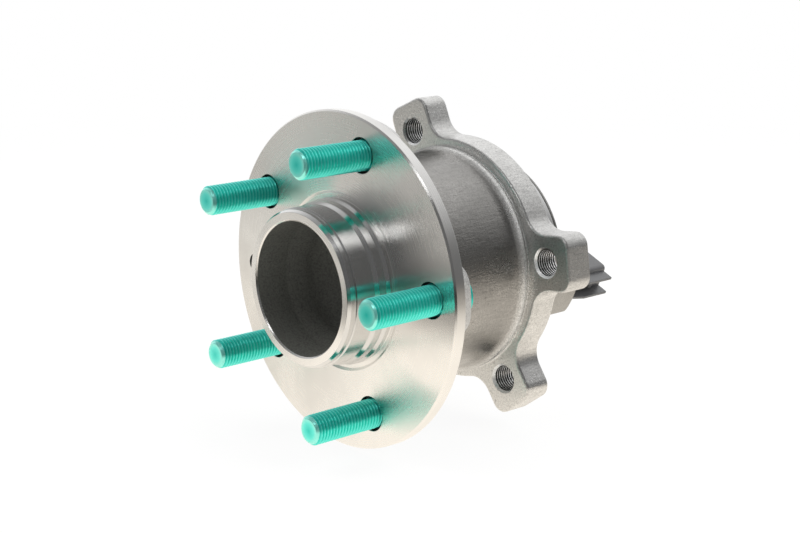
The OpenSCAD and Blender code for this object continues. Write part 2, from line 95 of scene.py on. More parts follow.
def tint(text, colour):
    """Property for a colour."""
    return FloatVectorProperty(description=text, default=colour, size=3, subtype="COLOR", min=0.0, max=1.0)


def heading(text, degrees):
    """Property for an angle, given in degrees and held in radians."""
    return FloatProperty(description=text, default=math.radians(degrees), subtype="ANGLE",
                         unit="ROTATION")


def labelled(group):
    """Names each property of a group after its identifier."""
    for name, prop in group.__annotations__.items():
        prop.keywords["name"] = name.replace("_", " ").capitalize()
    return group


@labelled
class HubSizes(bpy.types.PropertyGroup):
    """Sizes of the forged rotor."""
    flange_radius: length("Radius of the wheel flange", 68.0)
    rim_width: length("Thickness of the flange at its rim", 5.3)
    boss_width: length("Thickness of the flange through a stud boss", 10.3)
    boss_base: length("Radius of a stud boss at the flange", 18.0)
    boss_back: length("Radius of a stud boss at its flat back", 14.0)
    pilot_radius: length("Radius of the spigot that centres the wheel", 31.7)
    disc_radius: length("Radius of the step that centres the disc", 32.6)
    spigot_height: length("Height of the spigot above the wheel face", 20.5)
    pocket_radius: length("Radius of the forged pocket at its mouth", 26.8)
    pocket_depth: length("Depth of the pocket below the wheel face", 12.5)
    screw_circle: length("Distance of the disc screw hole from the axis", 55.5)


@labelled
class StudSizes(bpy.types.PropertyGroup):
    """Sizes and places of the wheel studs."""
    count: IntProperty(description="Number of wheel studs", default=5, min=1)
    first: heading("Angle of the first wheel stud", 2.87)
    circle: length("Distance of the studs from the axis", 54.0)
    thread_radius: length("Radius of the thread at its crest", 6.0)
    pitch: length("Distance between two threads", 1.5)
    reach: length("Length of a stud above the wheel face", 31.0)
    head_radius: length("Radius of a stud head", 8.8)
    head_back: length("Distance from the wheel face to the back of a head", 14.7)


@labelled
class RingSizes(bpy.types.PropertyGroup):
    """Sizes of the outer ring and its ears."""
    knuckle_face: length("Distance from the wheel face to the knuckle", 72.0)
    ear_width: length("Thickness of the ears", 12.0)
    ear_reach: length("Distance from the axis to the end of an ear", 68.4)
    ear_span: length("Width of an ear", 23.0)
    ear_corner: length("Radius of the corners at the end of an ear", 5.5)
    ear_neck: length("Radius of the hollow beside an ear", 10.0)
    ring_back: length("Distance from the wheel face to the back of the ring", 85.0)
    flange_radius: length("Radius of the flange between the ears", 50.8)
    hole_circle: length("Distance of the ear holes from the axis", 56.0)
    hole_radius: length("Radius of the ear holes inside their thread", 5.1)
    mirror: heading("Direction of the line that the ears are mirrored about", -23.25)
    near: heading("Angle from that line to the near ears", 30.95)
    far: heading("Angle from that line to the far ears", 137.45)


@labelled
class SensorSizes(bpy.types.PropertyGroup):
    """Sizes of the sensor cap and its connector."""
    cap_radius: length("Radius of the cap behind the outer ring", 36.6)
    pod_radius: length("Radius of the outer side of the sensor pod", 38.9)
    pod_span: length("Width of the sensor pod", 21.8)
    pod_end: length("Distance from the wheel face to the end of the pod", 100.0)
    shroud_end: length("Distance from the wheel face to the end of the shroud", 121.0)
    shroud_span: length("Width of the connector shroud", 13.0)
    shroud_out: length("Distance from the axis to the outer side", 33.8)
    wall: length("Wall of the connector shroud", 1.5)


@labelled
class Finishes(bpy.types.PropertyGroup):
    """Colours of the finishes."""
    turned: tint("Turned wheel face and rim", (0.92, 0.91, 0.89))
    ground: tint("Spigot and bearing seats", (0.74, 0.74, 0.735))
    pocket: tint("Forged pocket", (0.13, 0.13, 0.115))
    coat: tint("Passivated coat of the studs", (0.004, 0.68, 0.58))
    # The crest and tip colours of the coat are painted highlights.
    coat_crest: tint("Coat where the thread is burnished", (0.13, 0.92, 0.80))
    coat_tip: tint("Coat on the tip of a stud", (0.50, 1.0, 0.90))
    barrel: tint("Shot blasted barrel", (0.42, 0.41, 0.395))
    forged: tint("Ears and mounting flange", (0.71, 0.705, 0.69))
    pressed: tint("Sensor cap and its pod", (0.43, 0.425, 0.41))
    plastic: tint("Connector shroud", (0.07, 0.07, 0.072))


def sizes(kind):
    """The property group of that kind, and a reader that gives its lengths in millimetres."""
    group = getattr(bpy.context.scene, "hub_bearing_" + kind)
    return group, lambda name: getattr(group, name) / MM


def colours(name, factor=1.0):
    """A colour of the finishes, made lighter or darker."""
    return shade(tuple(getattr(bpy.context.scene.hub_bearing_finishes, name)), factor)


def shade(colour, factor):
    """A colour made lighter or darker."""
    return tuple(min(1.0, c * factor) for c in colour)


# Surfaces worked out as arrays of points

TINY = 1e-6
# Largest share of an edge that the curve at one of its ends may take up
LONGEST = 0.49


def padded(table):
    """Rows of [a, b] or [a, b, radius], with a radius of zero where none is given."""
    return np.array([[*row, 0.0][:3] for row in table], float)


def corners(table, steps=5):
    """Rounds the corners of an open line of [a, b, radius] rows.

    Each corner becomes a curve (1-t)(1-t) A + 2t(1-t) P + tt B, where A and B lie on the two
    edges as far from corner P as a circle of that radius would touch them.
    """
    table = padded(table)
    points, radius = table[:, :2], table[:, 2]
    run = [points[:1]]
    for before, corner, after, r in zip(points, points[1:], points[2:], radius[1:]):
        u, v = before - corner, after - corner
        lu, lv = np.hypot(*u), np.hypot(*v)
        u, v = u / lu, v / lv
        bend = math.acos(np.clip(-(u @ v), -1, 1))
        reach = min(r * math.tan(bend / 2), LONGEST * lu, LONGEST * lv)
        if reach < TINY:
            run.append(corner[None])
            continue
        t = np.linspace(0, 1, steps + 1)[:, None]
        run.append((1 - t) ** 2 * (corner + u * reach) + 2 * t * (1 - t) * corner
                   + t ** 2 * (corner + v * reach))
    run.append(points[-1:])
    return np.vstack(run)


def loop_corners(table, steps=5):
    """Rounds every corner of a closed line: the line is opened at the middle of its last edge."""
    table = padded(table)
    middle = (table[-1] + table[0]) / 2 * [1, 1, 0]
    return corners([middle, *table, middle], steps)[:-1]


def arc(centre, radius, start, end, count):
    """Points at equal steps of angle on a circle, in degrees."""
    a = np.radians(np.linspace(start, end, count))
    return np.column_stack([centre[0] + radius * np.cos(a), centre[1] + radius * np.sin(a)])


def mitres(outline):
    """Outward vectors of a closed outline that shift both edges at a point by one unit.

    With the normals m and n of the two edges at a point the vector is (m + n) / (1 + m.n).
    """
    edge = np.roll(outline, -1, 0) - outline
    edge /= np.hypot(edge[:, 0], edge[:, 1])[:, None]
    after = np.column_stack([edge[:, 1], -edge[:, 0]])
    before = np.roll(after, 1, 0)
    return (before + after) / (1 + (before * after).sum(1, keepdims=True))


def lift(flat, levels):
    """Rows of flat points, with a level for each row or one for all, as points in space."""
    height = np.broadcast_to(np.reshape(levels, (-1, 1, 1)), flat.shape[:2] + (1,))
    return np.concatenate([flat, height], axis=2)


def loft(outline, section):
    """Grid of points: the outline shifted along its mitres by each offset, at each height.

    Rows follow the section of [offset, height] and columns follow the outline. An offset that
    is not a number puts the whole row at the middle of the outline, which closes the end.
    """
    shift, level = section[:, 0], section[:, 1]
    pole = np.isnan(shift)
    flat = outline[None] + mitres(outline)[None] * np.where(pole, 0.0, shift)[:, None, None]
    flat[pole] = outline.mean(0)
    return lift(flat, level)


def equal_angles(columns):
    """One row of equal angles round a full turn."""
    return np.linspace(0, FULL_TURN, columns, endpoint=False)[None]


def around(r, y, a):
    """Grid of points [r cos a, y, r sin a]."""
    return np.stack([r * np.cos(a), y + 0 * a, r * np.sin(a)], axis=2)


def spin(section, columns=ROUND):
    """Grid over a section of [r, y] carried round Y."""
    return around(section[:, :1], section[:, 1:], equal_angles(columns))


def turned(grid, angle, radius=0.0):
    """Grid carried out along X by a radius and turned about Y by an angle in radians."""
    x, y, z = grid[..., 0] + radius, grid[..., 1], grid[..., 2]
    c, s = math.cos(angle), math.sin(angle)
    return np.stack([c * x - s * z, y, s * x + c * z], axis=-1)


def helix(low, high, pitch, start, end, columns, steps=10, flat=0.1):
    """Grid of a thread about Y: the radius is low + (high - low) w.

    w is a triangle wave of y / pitch - angle / full turn with a number of steps to each pitch. It
    rises past 1, where it is cut off flat at its crests, and the share called flat makes its roots.
    """
    overshoot = 1.22
    rows = int(round((end - start) / pitch * steps)) + 1
    y = np.linspace(start, end, rows)[:, None]
    a = equal_angles(columns)
    phase = (y / pitch - a / FULL_TURN) % 1.0
    wave = np.clip(overshoot / (1 - flat) * (1 - np.abs(2 * phase - 1) - flat), 0, 1)
    return around(low + (high - low) * wave, y, a)


def mesh_object(name, points, faces):
    """New object in the scene with a mesh of points in metres and faces."""
    mesh = bpy.data.meshes.new(name)
    mesh.from_pydata(points, [], faces)
    mesh.update()
    item = bpy.data.objects.new(name, mesh)
    bpy.context.scene.collection.objects.link(item)
    return item


def skin(name, grids, closed_rows=False):
    """One mesh object over grids in millimetres: quads between rows, columns closing on themselves.

    A row whose points coincide becomes one point with triangles round it. Faces are turned
    outwards where the volume they enclose comes out negative.
    """
    if isinstance(grids, np.ndarray):
        grids = [grids]
    points, faces, start = [], [], 0
    for grid in grids:
        rows, columns = grid.shape[:2]
        index = np.arange(rows * columns).reshape(rows, columns)
        pole = np.ptp(grid, axis=1).max(axis=1) < TINY
        index[pole] = index[pole][:, :1]
        low = index if closed_rows else index[:-1]
        high = np.roll(index, -1, 0) if closed_rows else index[1:]
        quads = np.stack([low, high, np.roll(high, -1, 1), np.roll(low, -1, 1)], -1).reshape(-1, 4)
        flat = grid.reshape(-1, 3)
        a, b, c, d = (flat[quads[:, k]] for k in range(4))
        volume = (np.cross(a, b) * c).sum() + (np.cross(a, c) * d).sum()
        if volume < 0:
            quads = quads[:, ::-1]
        points.append(flat)
        faces.append(quads + start)
        start += rows * columns
    flat, quads = np.vstack(points) * MM, np.vstack(faces)
    used, number = np.unique(quads, return_inverse=True)
    quads = number.reshape(quads.shape)
    double = [quads[:, k] == quads[:, k - 1] for k in range(4)]
    whole = ~(double[0] | double[1] | double[2] | double[3])
    triangles = [quads[double[k] & ~double[k - 2]][:, [j for j in range(4) if j != k]] for k in range(4)]
    return mesh_object(name, flat[used], quads[whole].tolist() + np.vstack(triangles).tolist())


def combine(piece, grids, operation):
    """Joins closed grids to a piece or cuts them from it with the exact solver."""
    tool = skin("tool", grids)
    step = piece.modifiers.new("combine", "BOOLEAN")
    step.operation, step.object, step.solver = operation, tool, "EXACT"
    bpy.context.view_layer.update()
    shape = bpy.data.meshes.new_from_object(
        piece.evaluated_get(bpy.context.evaluated_depsgraph_get()))
    piece.modifiers.clear()
    spent = (piece.data, tool.data)
    piece.data = shape
    bpy.data.objects.remove(tool)
    for mesh in spent:
        bpy.data.meshes.remove(mesh)
    shape.name = piece.name
    if not len(shape.polygons):
        raise RuntimeError(f"{piece.name}: the solver gave an empty mesh")


def triples(items, name):
    """One attribute of a mesh's points or faces, as rows of three numbers."""
    values = np.zeros(len(items) * 3)
    items.foreach_get(name, values)
    return values.reshape(-1, 3)


def face_facts(piece):
    """Of each face: its centre in millimetres, its radius, its y and the Y part of its normal."""
    centre = triples(piece.data.polygons, "center") / MM
    tilt = triples(piece.data.polygons, "normal")[:, 1]
    return centre, np.hypot(centre[:, 0], centre[:, 2]), centre[:, 1], tilt


def off_axis(centre, circle, angles):
    """Distance of each centre from the nearest axis along Y at those angles on a circle."""
    return np.min([np.hypot(centre[:, 0] - circle * math.cos(a), centre[:, 2] - circle * math.sin(a))
                   for a in angles], axis=0)


def dress(piece, materials, zones=None, sharp=32.0):
    """Gives a piece its materials, by a zone number for each face, and smooth shading.

    Edges whose faces meet at more than the sharp angle stay crisp.
    """
    mesh = piece.data
    mesh.materials.clear()
    for material in materials:
        mesh.materials.append(material)
    count = len(mesh.polygons)
    mesh.polygons.foreach_set("use_smooth", np.ones(count, bool))
    mesh.set_sharp_from_angle(angle=math.radians(sharp))
    zones = np.zeros(count) if zones is None else zones
    mesh.polygons.foreach_set("material_index", zones.astype(np.int32))
    mesh.update()
    weigh = piece.modifiers.new("even_shading", "WEIGHTED_NORMAL")
    weigh.keep_sharp = True
    return piece


def seat(piece, body, slot, *nodes):
    """The piece rides on a body and stands for nodes, which it hides. The slot is not used."""
    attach(piece, body)
    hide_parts(*nodes)
    return piece


# Finishes: each is a node tree on Object coordinates

class Tree:
    """The node tree of a material or a world and short ways to add nodes to it."""

    def __init__(self, owner):
        owner.use_nodes = True
        self.tree = owner.node_tree
        self.tree.nodes.clear()

    def add(self, kind, inputs=(), **settings):
        """A node with its settings and its inputs, which are numbers or other nodes' outputs."""
        node = self.tree.nodes.new(kind)
        for key, value in settings.items():
            setattr(node, key, value)
        for key, value in dict(inputs).items():
            self.join(node.inputs[key], value)
        return node

    def join(self, socket, value):
        """Links an output to a socket, or sets the socket's own number, vector or colour."""
        if isinstance(value, bpy.types.NodeSocket):
            self.tree.links.new(value, socket)
        else:
            socket.default_value = (*value, 1.0) if socket.type == "RGBA" else value

    def math(self, operation, *values):
        """Result of a sum on numbers or outputs."""
        return self.add("ShaderNodeMath", enumerate(values), operation=operation).outputs[0]

    def vector(self, operation, *values):
        """Result of a sum on vectors, which is a number for a length or a dot product."""
        node = self.add("ShaderNodeVectorMath", enumerate(values), operation=operation)
        return node.outputs["Value" if operation in ("LENGTH", "DOT_PRODUCT") else 0]

    def blend(self, share, first, second):
        """Surface between the surfaces of two nodes."""
        return self.add("ShaderNodeMixShader", {0: share, 1: first.outputs[0], 2: second.outputs[0]})

    def band(self, value, low, high, out_low=0.0, out_high=1.0):
        """A value carried from one range to another, held at the ends."""
        return self.add("ShaderNodeMapRange", {0: value, 1: low, 2: high, 3: out_low, 4: out_high},
                        clamp=True).outputs[0]

    def mix(self, share, first, second):
        """Colour between two colours."""
        return self.add("ShaderNodeMix", {0: share, 6: first, 7: second}, data_type="RGBA").outputs[2]


class Finish(Tree):
    """A material with a principled shader on Object coordinates."""

    def __init__(self, name):
        self.material = bpy.data.materials.new(name)
        super().__init__(self.material)
        self.shader = self.add("ShaderNodeBsdfPrincipled")
        self.output = self.add("ShaderNodeOutputMaterial", {0: self.shader.outputs[0]})
        self.place = self.add("ShaderNodeTexCoord").outputs["Object"]
        self.x, self.y, _ = self.add("ShaderNodeSeparateXYZ", {0: self.place}).outputs

    def noise(self, scale, detail=3.0, roughness=0.5, place=None):
        """Noise at a number of cells to the metre, in space or along a single output."""
        inputs = {"Scale": scale, "Detail": detail, "Roughness": roughness}
        place = place or self.place
        space, entry = ("1D", "W") if place.type == "VALUE" else ("3D", "Vector")
        inputs[entry] = place
        return self.add("ShaderNodeTexNoise", inputs, noise_dimensions=space).outputs["Fac"]

    def surface(self, node):
        """Puts a node's surface in place of the principled shader's."""
        self.join(self.output.inputs[0], node.outputs[0])

    def glow(self, strength, colour=WHITE):
        """Emission of a strength and a colour."""
        return self.add("ShaderNodeEmission", {0: colour, 1: strength})

    def bump(self, height, depth):
        """Normal of a relief whose height of one stands for a depth in metres."""
        return self.add("ShaderNodeBump", {"Height": height, "Distance": depth, "Strength": 1.0}).outputs[0]

    def finish(self, **inputs):
        """Sets the shader's sockets to numbers or outputs and gives the material."""
        names = {"colour": "Base Color", "roughness": "Roughness", "metallic": "Metallic",
                 "normal": "Normal", "specular": "Specular IOR Level", "coat": "Coat Weight",
                 "coat_roughness": "Coat Roughness", "combed": "Anisotropic",
                 "comb_turn": "Anisotropic Rotation", "comb": "Tangent"}
        for key, value in inputs.items():
            self.join(self.shader.inputs[names[key]], value)
        return self.material


def machined(name, colour, roughness, lines=2600.0, relief=6e-6, dirt=0.12, combed=0.6):
    """Turned or ground steel: fine rings about the axis, faint stains and uneven gloss.

    The gloss is spread across the rings: the tangent is the direction along them, turned by a
    quarter.
    """
    f = Finish(name)
    radius = f.vector("LENGTH", f.vector("MULTIPLY", f.place, (1, 0, 1)))
    cut = f.math("ADD", f.noise(lines, 2.0, 0.6, radius), f.noise(lines, 2.0, 0.6, f.y))
    stain = f.noise(38.0, 5.0, 0.62)
    specks = f.band(f.noise(900.0, 2.0, 0.5), 0.70, 0.78)
    tone = f.mix(f.band(stain, 0.35, 0.72, 0.0, dirt), colour, shade(colour, 0.62))
    tone = f.mix(f.math("MULTIPLY", specks, 0.18), tone, shade(colour, 0.35))
    gloss = f.math("ADD", f.band(cut, 0.7, 1.3, roughness * 0.93, roughness * 1.07),
                   f.band(stain, 0.3, 0.8, -0.02, 0.05))
    return f.finish(colour=tone, roughness=gloss, metallic=1.0, normal=f.bump(cut, relief),
                    combed=combed, comb_turn=0.25,
                    comb=f.vector("CROSS_PRODUCT", (0.0, 1.0, 0.0), f.place))


def forged(name, colour, roughness, grain=1500.0, relief=4e-5, streaks=0.0, metallic=1.0,
           patches=0.35, towards=None):
    """Blasted or forged steel: fine pits, soft patches and, on sheared sides, streaks along Y.

    Where towards holds a colour and two stations on Y, the steel changes to that colour between
    them and shows faint turned lines.
    """
    f = Finish(name)
    pits = f.noise(grain, 3.0, 0.65)
    coarse = f.noise(grain * 0.22, 4.0, 0.6)
    patch = f.noise(55.0, 4.0, 0.6)
    pores = f.band(f.noise(grain * 0.55, 1.0, 0.5), 0.66, 0.76)
    relief_map = f.math("ADD", pits, f.math("MULTIPLY", coarse, 0.8))
    tone = f.mix(f.band(patch, 0.3, 0.7, 0.0, patches), shade(colour, 1.12), shade(colour, 0.72))
    if towards:
        step = f.band(f.y, *towards[1:])
        tone = f.mix(step, tone, towards[0])
        metallic = f.math("SUBTRACT", metallic, f.math("MULTIPLY", step, 0.3))
        turns = f.band(f.noise(900.0, 2.0, 0.6, f.y), 0.45, 0.65, 0.0, 0.12)
        tone = f.mix(turns, tone, shade(colour, 0.5))
    tone = f.mix(f.band(pits, 0.42, 0.72, 0.0, 0.55), tone, shade(colour, 0.4))
    tone = f.mix(f.math("MULTIPLY", pores, 0.4), tone, shade(colour, 0.3))
    if streaks:
        lines = f.noise(1000.0, 4.0, 0.7, f.vector("MULTIPLY", f.place, (1.0, 0.15, 1.0)))
        tone = f.mix(f.band(lines, 0.45, 0.7, 0.0, streaks), tone, shade(colour, 0.55))
        relief_map = f.math("ADD", relief_map, f.math("MULTIPLY", lines, 1.2))
    gloss = f.math("ADD", f.band(pits, 0.3, 0.75, roughness * 0.85, roughness * 1.2),
                   f.band(patch, 0.3, 0.7, -0.03, 0.05))
    return f.finish(colour=tone, roughness=gloss, metallic=metallic, normal=f.bump(relief_map, relief))


def coated(name, base, crest, tip):
    """Passivated coat of a stud with a mottled gloss and painted highlights:
    thread crests lighter than the roots.

    The attribute crest is 0 in the roots, 1 on the crests and above 1 on the tip, whose paler colour is a
    painted highlight.
    """
    f = Finish(name)
    crown = f.add("ShaderNodeAttribute", attribute_name="crest").outputs["Fac"]
    mottle = f.noise(260.0, 4.0, 0.6)
    fine = f.noise(1200.0, 2.0, 0.5)
    tone = f.mix(f.band(mottle, 0.35, 0.7, 0.0, 0.25), base, shade(base, 0.72))
    tone = f.mix(f.math("MULTIPLY", f.math("MINIMUM", crown, 1.0), 0.88), tone, crest)
    tone = f.mix(f.band(crown, 1.0, 2.0), tone, tip)
    gloss = f.band(mottle, 0.3, 0.7, 0.30, 0.36)
    return f.finish(colour=tone, roughness=gloss, metallic=0.82, coat=0.5, coat_roughness=0.22,
                    normal=f.bump(fine, 1.5e-6))


def moulded(name, colour, roughness=0.46, relief=1.2e-5, specular=0.5):
    """Moulded plastic or rubber: fine spark-eroded grain and a few handling marks."""
    f = Finish(name)
    grain = f.noise(3800.0, 2.0, 0.6)
    cloud = f.noise(140.0, 4.0, 0.6)
    marks = f.noise(420.0, 2.0, 0.5, f.vector("MULTIPLY", f.place, (1.0, 0.3, 1.0)))
    marks = f.band(marks, 0.68, 0.8)
    tone = f.mix(f.band(cloud, 0.3, 0.7, 0.0, 0.5), shade(colour, 0.85), shade(colour, 1.3))
    tone = f.mix(f.math("MULTIPLY", marks, 0.25), tone, shade(colour, 2.2))
    gloss = f.math("ADD", f.band(grain, 0.3, 0.7, roughness * 0.9, roughness * 1.12),
                   f.band(cloud, 0.3, 0.7, -0.03, 0.05))
    return f.finish(colour=tone, roughness=gloss, specular=specular, normal=f.bump(grain, relief))


# Rotor

# Depth of a metric thread as a share of its pitch
THREAD_DEPTH = 0.613
# The two rows of balls: stations on Y, pitch radius, ball radius and number of balls in a row
ROW_OUT, ROW_IN, PITCH_RADIUS, BALL, BALL_COUNT = 28.0, 62.0, 31.0, 6.35, 13
# Radius of a raceway, and how far its centre lies off the pitch circle
RACE, RACE_SHIFT = 6.6, 0.2


def hub_section(mm):
    """Half section of the rotor from its pocket round the spigot and flange to the rear recess."""
    pilot, disc, rim = mm("pilot_radius"), mm("disc_radius"), mm("flange_radius")
    top, mouth, depth = -mm("spigot_height"), mm("pocket_radius"), mm("pocket_depth")
    web, width = mm("boss_width") - 0.8, mm("rim_width")
    pocket = [[0, depth + 3.0], [0.5, depth + 2.8, 0.2], [2.2, depth - 0.1, 0.3]]
    pocket += [*arc((mouth - 14.2, depth - 11.0), 11.0, 86, 0, 12)]
    front = [
        [mouth - 0.9, -6.2, 6.0], [mouth, top + 0.6, 0.2], [mouth + 0.6, top, 0.15],
        [pilot - 1.4, top, 0.2], [pilot - 0.5, top + 1.3, 0.25], [pilot - 0.5, top + 3.2, 0.05],
        [pilot - 0.75, top + 3.35, 0.05], [pilot - 0.75, top + 3.6, 0.05],
        [pilot, top + 3.9, 0.12], [pilot, -8.0, 0.4], [disc, -6.3, 0.4], [disc, -3.0, 0.35],
        [disc + 0.8, -1.5, 0.35], [disc + 0.8, 0.6, 0.3], [disc + 2.6, 0.6, 0.4],
        [disc + 3.6, 0.0, 0.4], [rim - 0.7, 0.0, 0.12], [rim, 0.7, 0.12],
        [rim, width - 0.5, 0.25], [rim - 0.5, width, 0.25], [51.0, width, 3.0],
        [44.0, web, 3.0], [34.0, web, 2.0], [30.2, web + 1.6, 1.0], [29.0, web + 3.8, 1.0],
        [29.0, 20.6, 0.2], [27.9, 21.4, 0.2]]
    race = [*arc((PITCH_RADIUS + RACE_SHIFT, ROW_OUT), RACE, 240, 151.5, 12)]
    rear = [
        [25.4, 47.0, 0.4], [24.4, 48.0, 0.4], [20.0, 48.0, 0.3], [20.0, 78.0, 0.2],
        [24.2, 78.0, 0.4], [25.3, 79.2, 0.8], [25.0, 81.4, 1.4], [23.0, 82.6, 1.2],
        [17.6, 82.2, 1.2], [15.4, 80.0, 0.8], [14.5, 74.0, 1.5], [0.0, 74.0]]
    return corners(pocket + front + race + rear)


def boss(mm, angle, circle):
    """Drafted boss behind the flange.

    Round the stud's own axis its radius is the smaller of a cone and of the distance to the
    trimmed rim, -c.e + sqrt(R R - c c + (c.e)(c.e)), joined softly by a root of powers. The
    trimmed rim leans inwards with the height above the flange.
    """
    columns, blend, lean = 120, 14.0, 0.34
    low, high = mm("rim_width") - 0.8, mm("boss_width")
    back, base, rim = mm("boss_back"), mm("boss_base"), mm("flange_radius")
    section = corners([[back - 8.0, high], [back, high, 1.6], [base, low + 0.7, 0.4], [base, low]], 6)
    a = equal_angles(columns)
    wobble = 1 + 0.006 * np.sin(3 * a + 1.0) + 0.005 * np.sin(7 * a)
    cone, y = section[:, :1] * wobble, section[:, 1:]
    limit = rim - 0.75 - lean * np.clip(y - low - 0.8, 0, None)
    limit = limit - np.clip(back - section[:, :1], 0, None)
    toward = circle * np.cos(a)
    reach = -toward + np.sqrt(limit ** 2 - circle ** 2 + toward ** 2)
    r = (cone ** -blend + reach ** -blend) ** (-1 / blend)
    first, last = (np.broadcast_to([0.0, level, 0.0], (1, columns, 3)) for level in (high, low))
    return turned(np.concatenate([first, around(r, y, a), last]), angle, circle)


def stud_angles(studs):
    """Directions of the wheel studs in radians."""
    return [studs.first + FULL_TURN * i / studs.count for i in range(studs.count)]


class HUBBEARING_OT_wheel_hub(bpy.types.Operator):
    """Forged rotor with its flange, bosses, spigot and pocket"""
    bl_idname = "hub_bearing.wheel_hub"
    bl_label = "Wheel hub"

    def execute(self, context):
        _, mm = sizes("hub")
        studs, stud_mm = sizes("studs")
        circle, angles = stud_mm("circle"), stud_angles(studs)
        piece = skin("forged_hub", spin(hub_section(mm), 288))
        combine(piece, [boss(mm, a, circle) for a in angles], "UNION")
        recess, bore, end = 7.07, 6.47, 12.0
        sink = corners([[0, -1.5], [8.2, -1.5], [recess, 0.2, 0.1], [recess, 2.2, 0.2], [bore, 2.3],
                        [bore, end], [0, end]])
        holes = [turned(spin(sink, 72), a, circle) for a in angles]
        screw_angle = angles[2] + math.pi / studs.count
        low, high, pitch, start, end, columns = 3.4, 4.0, 1.25, 0.9, 4.6, 48
        thread = helix(low, high, pitch, start, end, columns)
        mouth = spin(corners([[0, -1.0], [4.5, -1.0], [3.6, 0.75, 0.1], [low, start]]), columns)
        tail = spin(corners([[low, end], [4.6, 6.2], [0, 6.2]]), columns)
        holes.append(turned(np.concatenate([mouth[:-1], thread, tail[1:]]), screw_angle,
                            mm("screw_circle")))
        combine(piece, holes, "DIFFERENCE")
        centre, r, y, tilt = face_facts(piece)
        # Zones: 0 turned face, 1 ground spigot, 2 pocket, 3 forged back, 4 walls of the holes, painted near
        # black as shade
        zones = np.zeros(len(r))
        zones[(y < -0.3) & (r > 27.3) & ~((tilt < -0.9) & (y < 0.2 - mm("spigot_height")))] = 1
        zones[(y < 15.6) & (r < mm("pocket_radius") + 0.25)] = 2
        zones[(y > 5.15) & (y < 13.4) & (r > 29.5) & (r < mm("flange_radius") - 0.45)] = 3
        zones[(y > 13.4) & (r < 29.5) & ~((y < 15.6) & (r < 5))] = 1
        # The stud recesses and the screw hole are painted near black: painted shade inside the holes.
        zones[(off_axis(centre, circle, angles) < 7.3) & (y > 0.12) & (y < 2.6)] = 4
        screw = off_axis(centre, mm("screw_circle"), [screw_angle])
        zones[(screw < 4.6) & (y > 0.02) & (np.abs(tilt) < 0.9)] = 4
        dress(piece, [
            machined("turned_face", colours("turned"), 0.27, 2600.0, 4e-7, combed=0.93),
            machined("ground_spigot", colours("ground"), 0.20, 5200.0, 1e-6, combed=0.8),
            forged("pocket_scale", colours("pocket"), 0.75, 1200.0, 9e-5, patches=0.4,
                   metallic=0.3),
            forged("forged_back", colours("forged", 0.84), 0.46, 1300.0, 6e-5, metallic=0.75),
            forged("stud_recess", (0.02, 0.02, 0.02), 0.6, metallic=0.0),
        ], zones, 28.0)
        seat(piece, ROTOR, "hub_steel", "wheel_hub")
        return {"FINISHED"}


class HUBBEARING_OT_wheel_studs(bpy.types.Operator):
    """Threaded and coated wheel studs"""
    bl_idname = "hub_bearing.wheel_studs"
    bl_label = "Wheel studs"

    def execute(self, context):
        studs, mm = sizes("studs")
        _, mm_hub = sizes("hub")
        coat = coated("stud_coating", colours("coat"), colours("coat_crest"), colours("coat_tip"))
        crest, tip, columns = mm("thread_radius"), -mm("reach"), 64
        root = crest - THREAD_DEPTH * mm("pitch")
        thread = helix(root, crest, mm("pitch"), tip + 0.5, 1.2, columns)
        radius = np.hypot(thread[..., 0], thread[..., 2])
        chamfer = crest - 1.45 + 1.15 * (thread[..., 1] - tip)
        thread[..., [0, 2]] *= (np.minimum(radius, chamfer) / radius)[..., None]
        nose = spin(corners([[0, tip], [crest - 1.35, tip, 0.35], [crest - 0.87, tip + 0.5]]), columns)
        neck, head, seat_y, back = 6.45, mm("head_radius"), mm_hub("boss_width"), mm("head_back")
        tail = spin(corners([[root, 1.2], [root + 0.2, 1.7, 0.1], [neck, 2.3, 0.2], [neck, seat_y, 0.1],
                             [head, seat_y, 0.3], [head, back - 0.9, 0.6], [head - 1.5, back, 0.8],
                             [0, back]]), columns)
        grid = np.concatenate([nose[:-1], thread, tail[1:]])
        for number, angle in enumerate(stud_angles(studs), 1):
            piece = skin(f"threaded_stud_{number}", turned(grid, angle, mm("circle")))
            place = triples(piece.data.vertices, "co") / MM
            radius, y = off_axis(place, mm("circle"), [angle]), place[:, 1]
            # Share of painted highlight at each point: 0 in the thread roots and 1 on the crests.
            level = np.where(y < 1.5, np.clip((radius - root) / (crest - root), 0, 1), 0.0)
            # The tip's bevel takes the paler tip colour, a painted highlight; the middle of the end face
            # keeps the plain coat.
            level[y < tip + 1.0] = 1.5
            level[(y < tip + 0.05) & (radius < 1.0)] = 0.0
            highlight_share = piece.data.attributes.new("crest", "FLOAT", "POINT")
            highlight_share.data.foreach_set("value", level.astype(np.float32))
            dress(piece, [coat], sharp=50.0)
            seat(piece, ROTOR, "stud_coat", f"wheel_stud_{number}")
        return {"FINISHED"}


# Outer ring

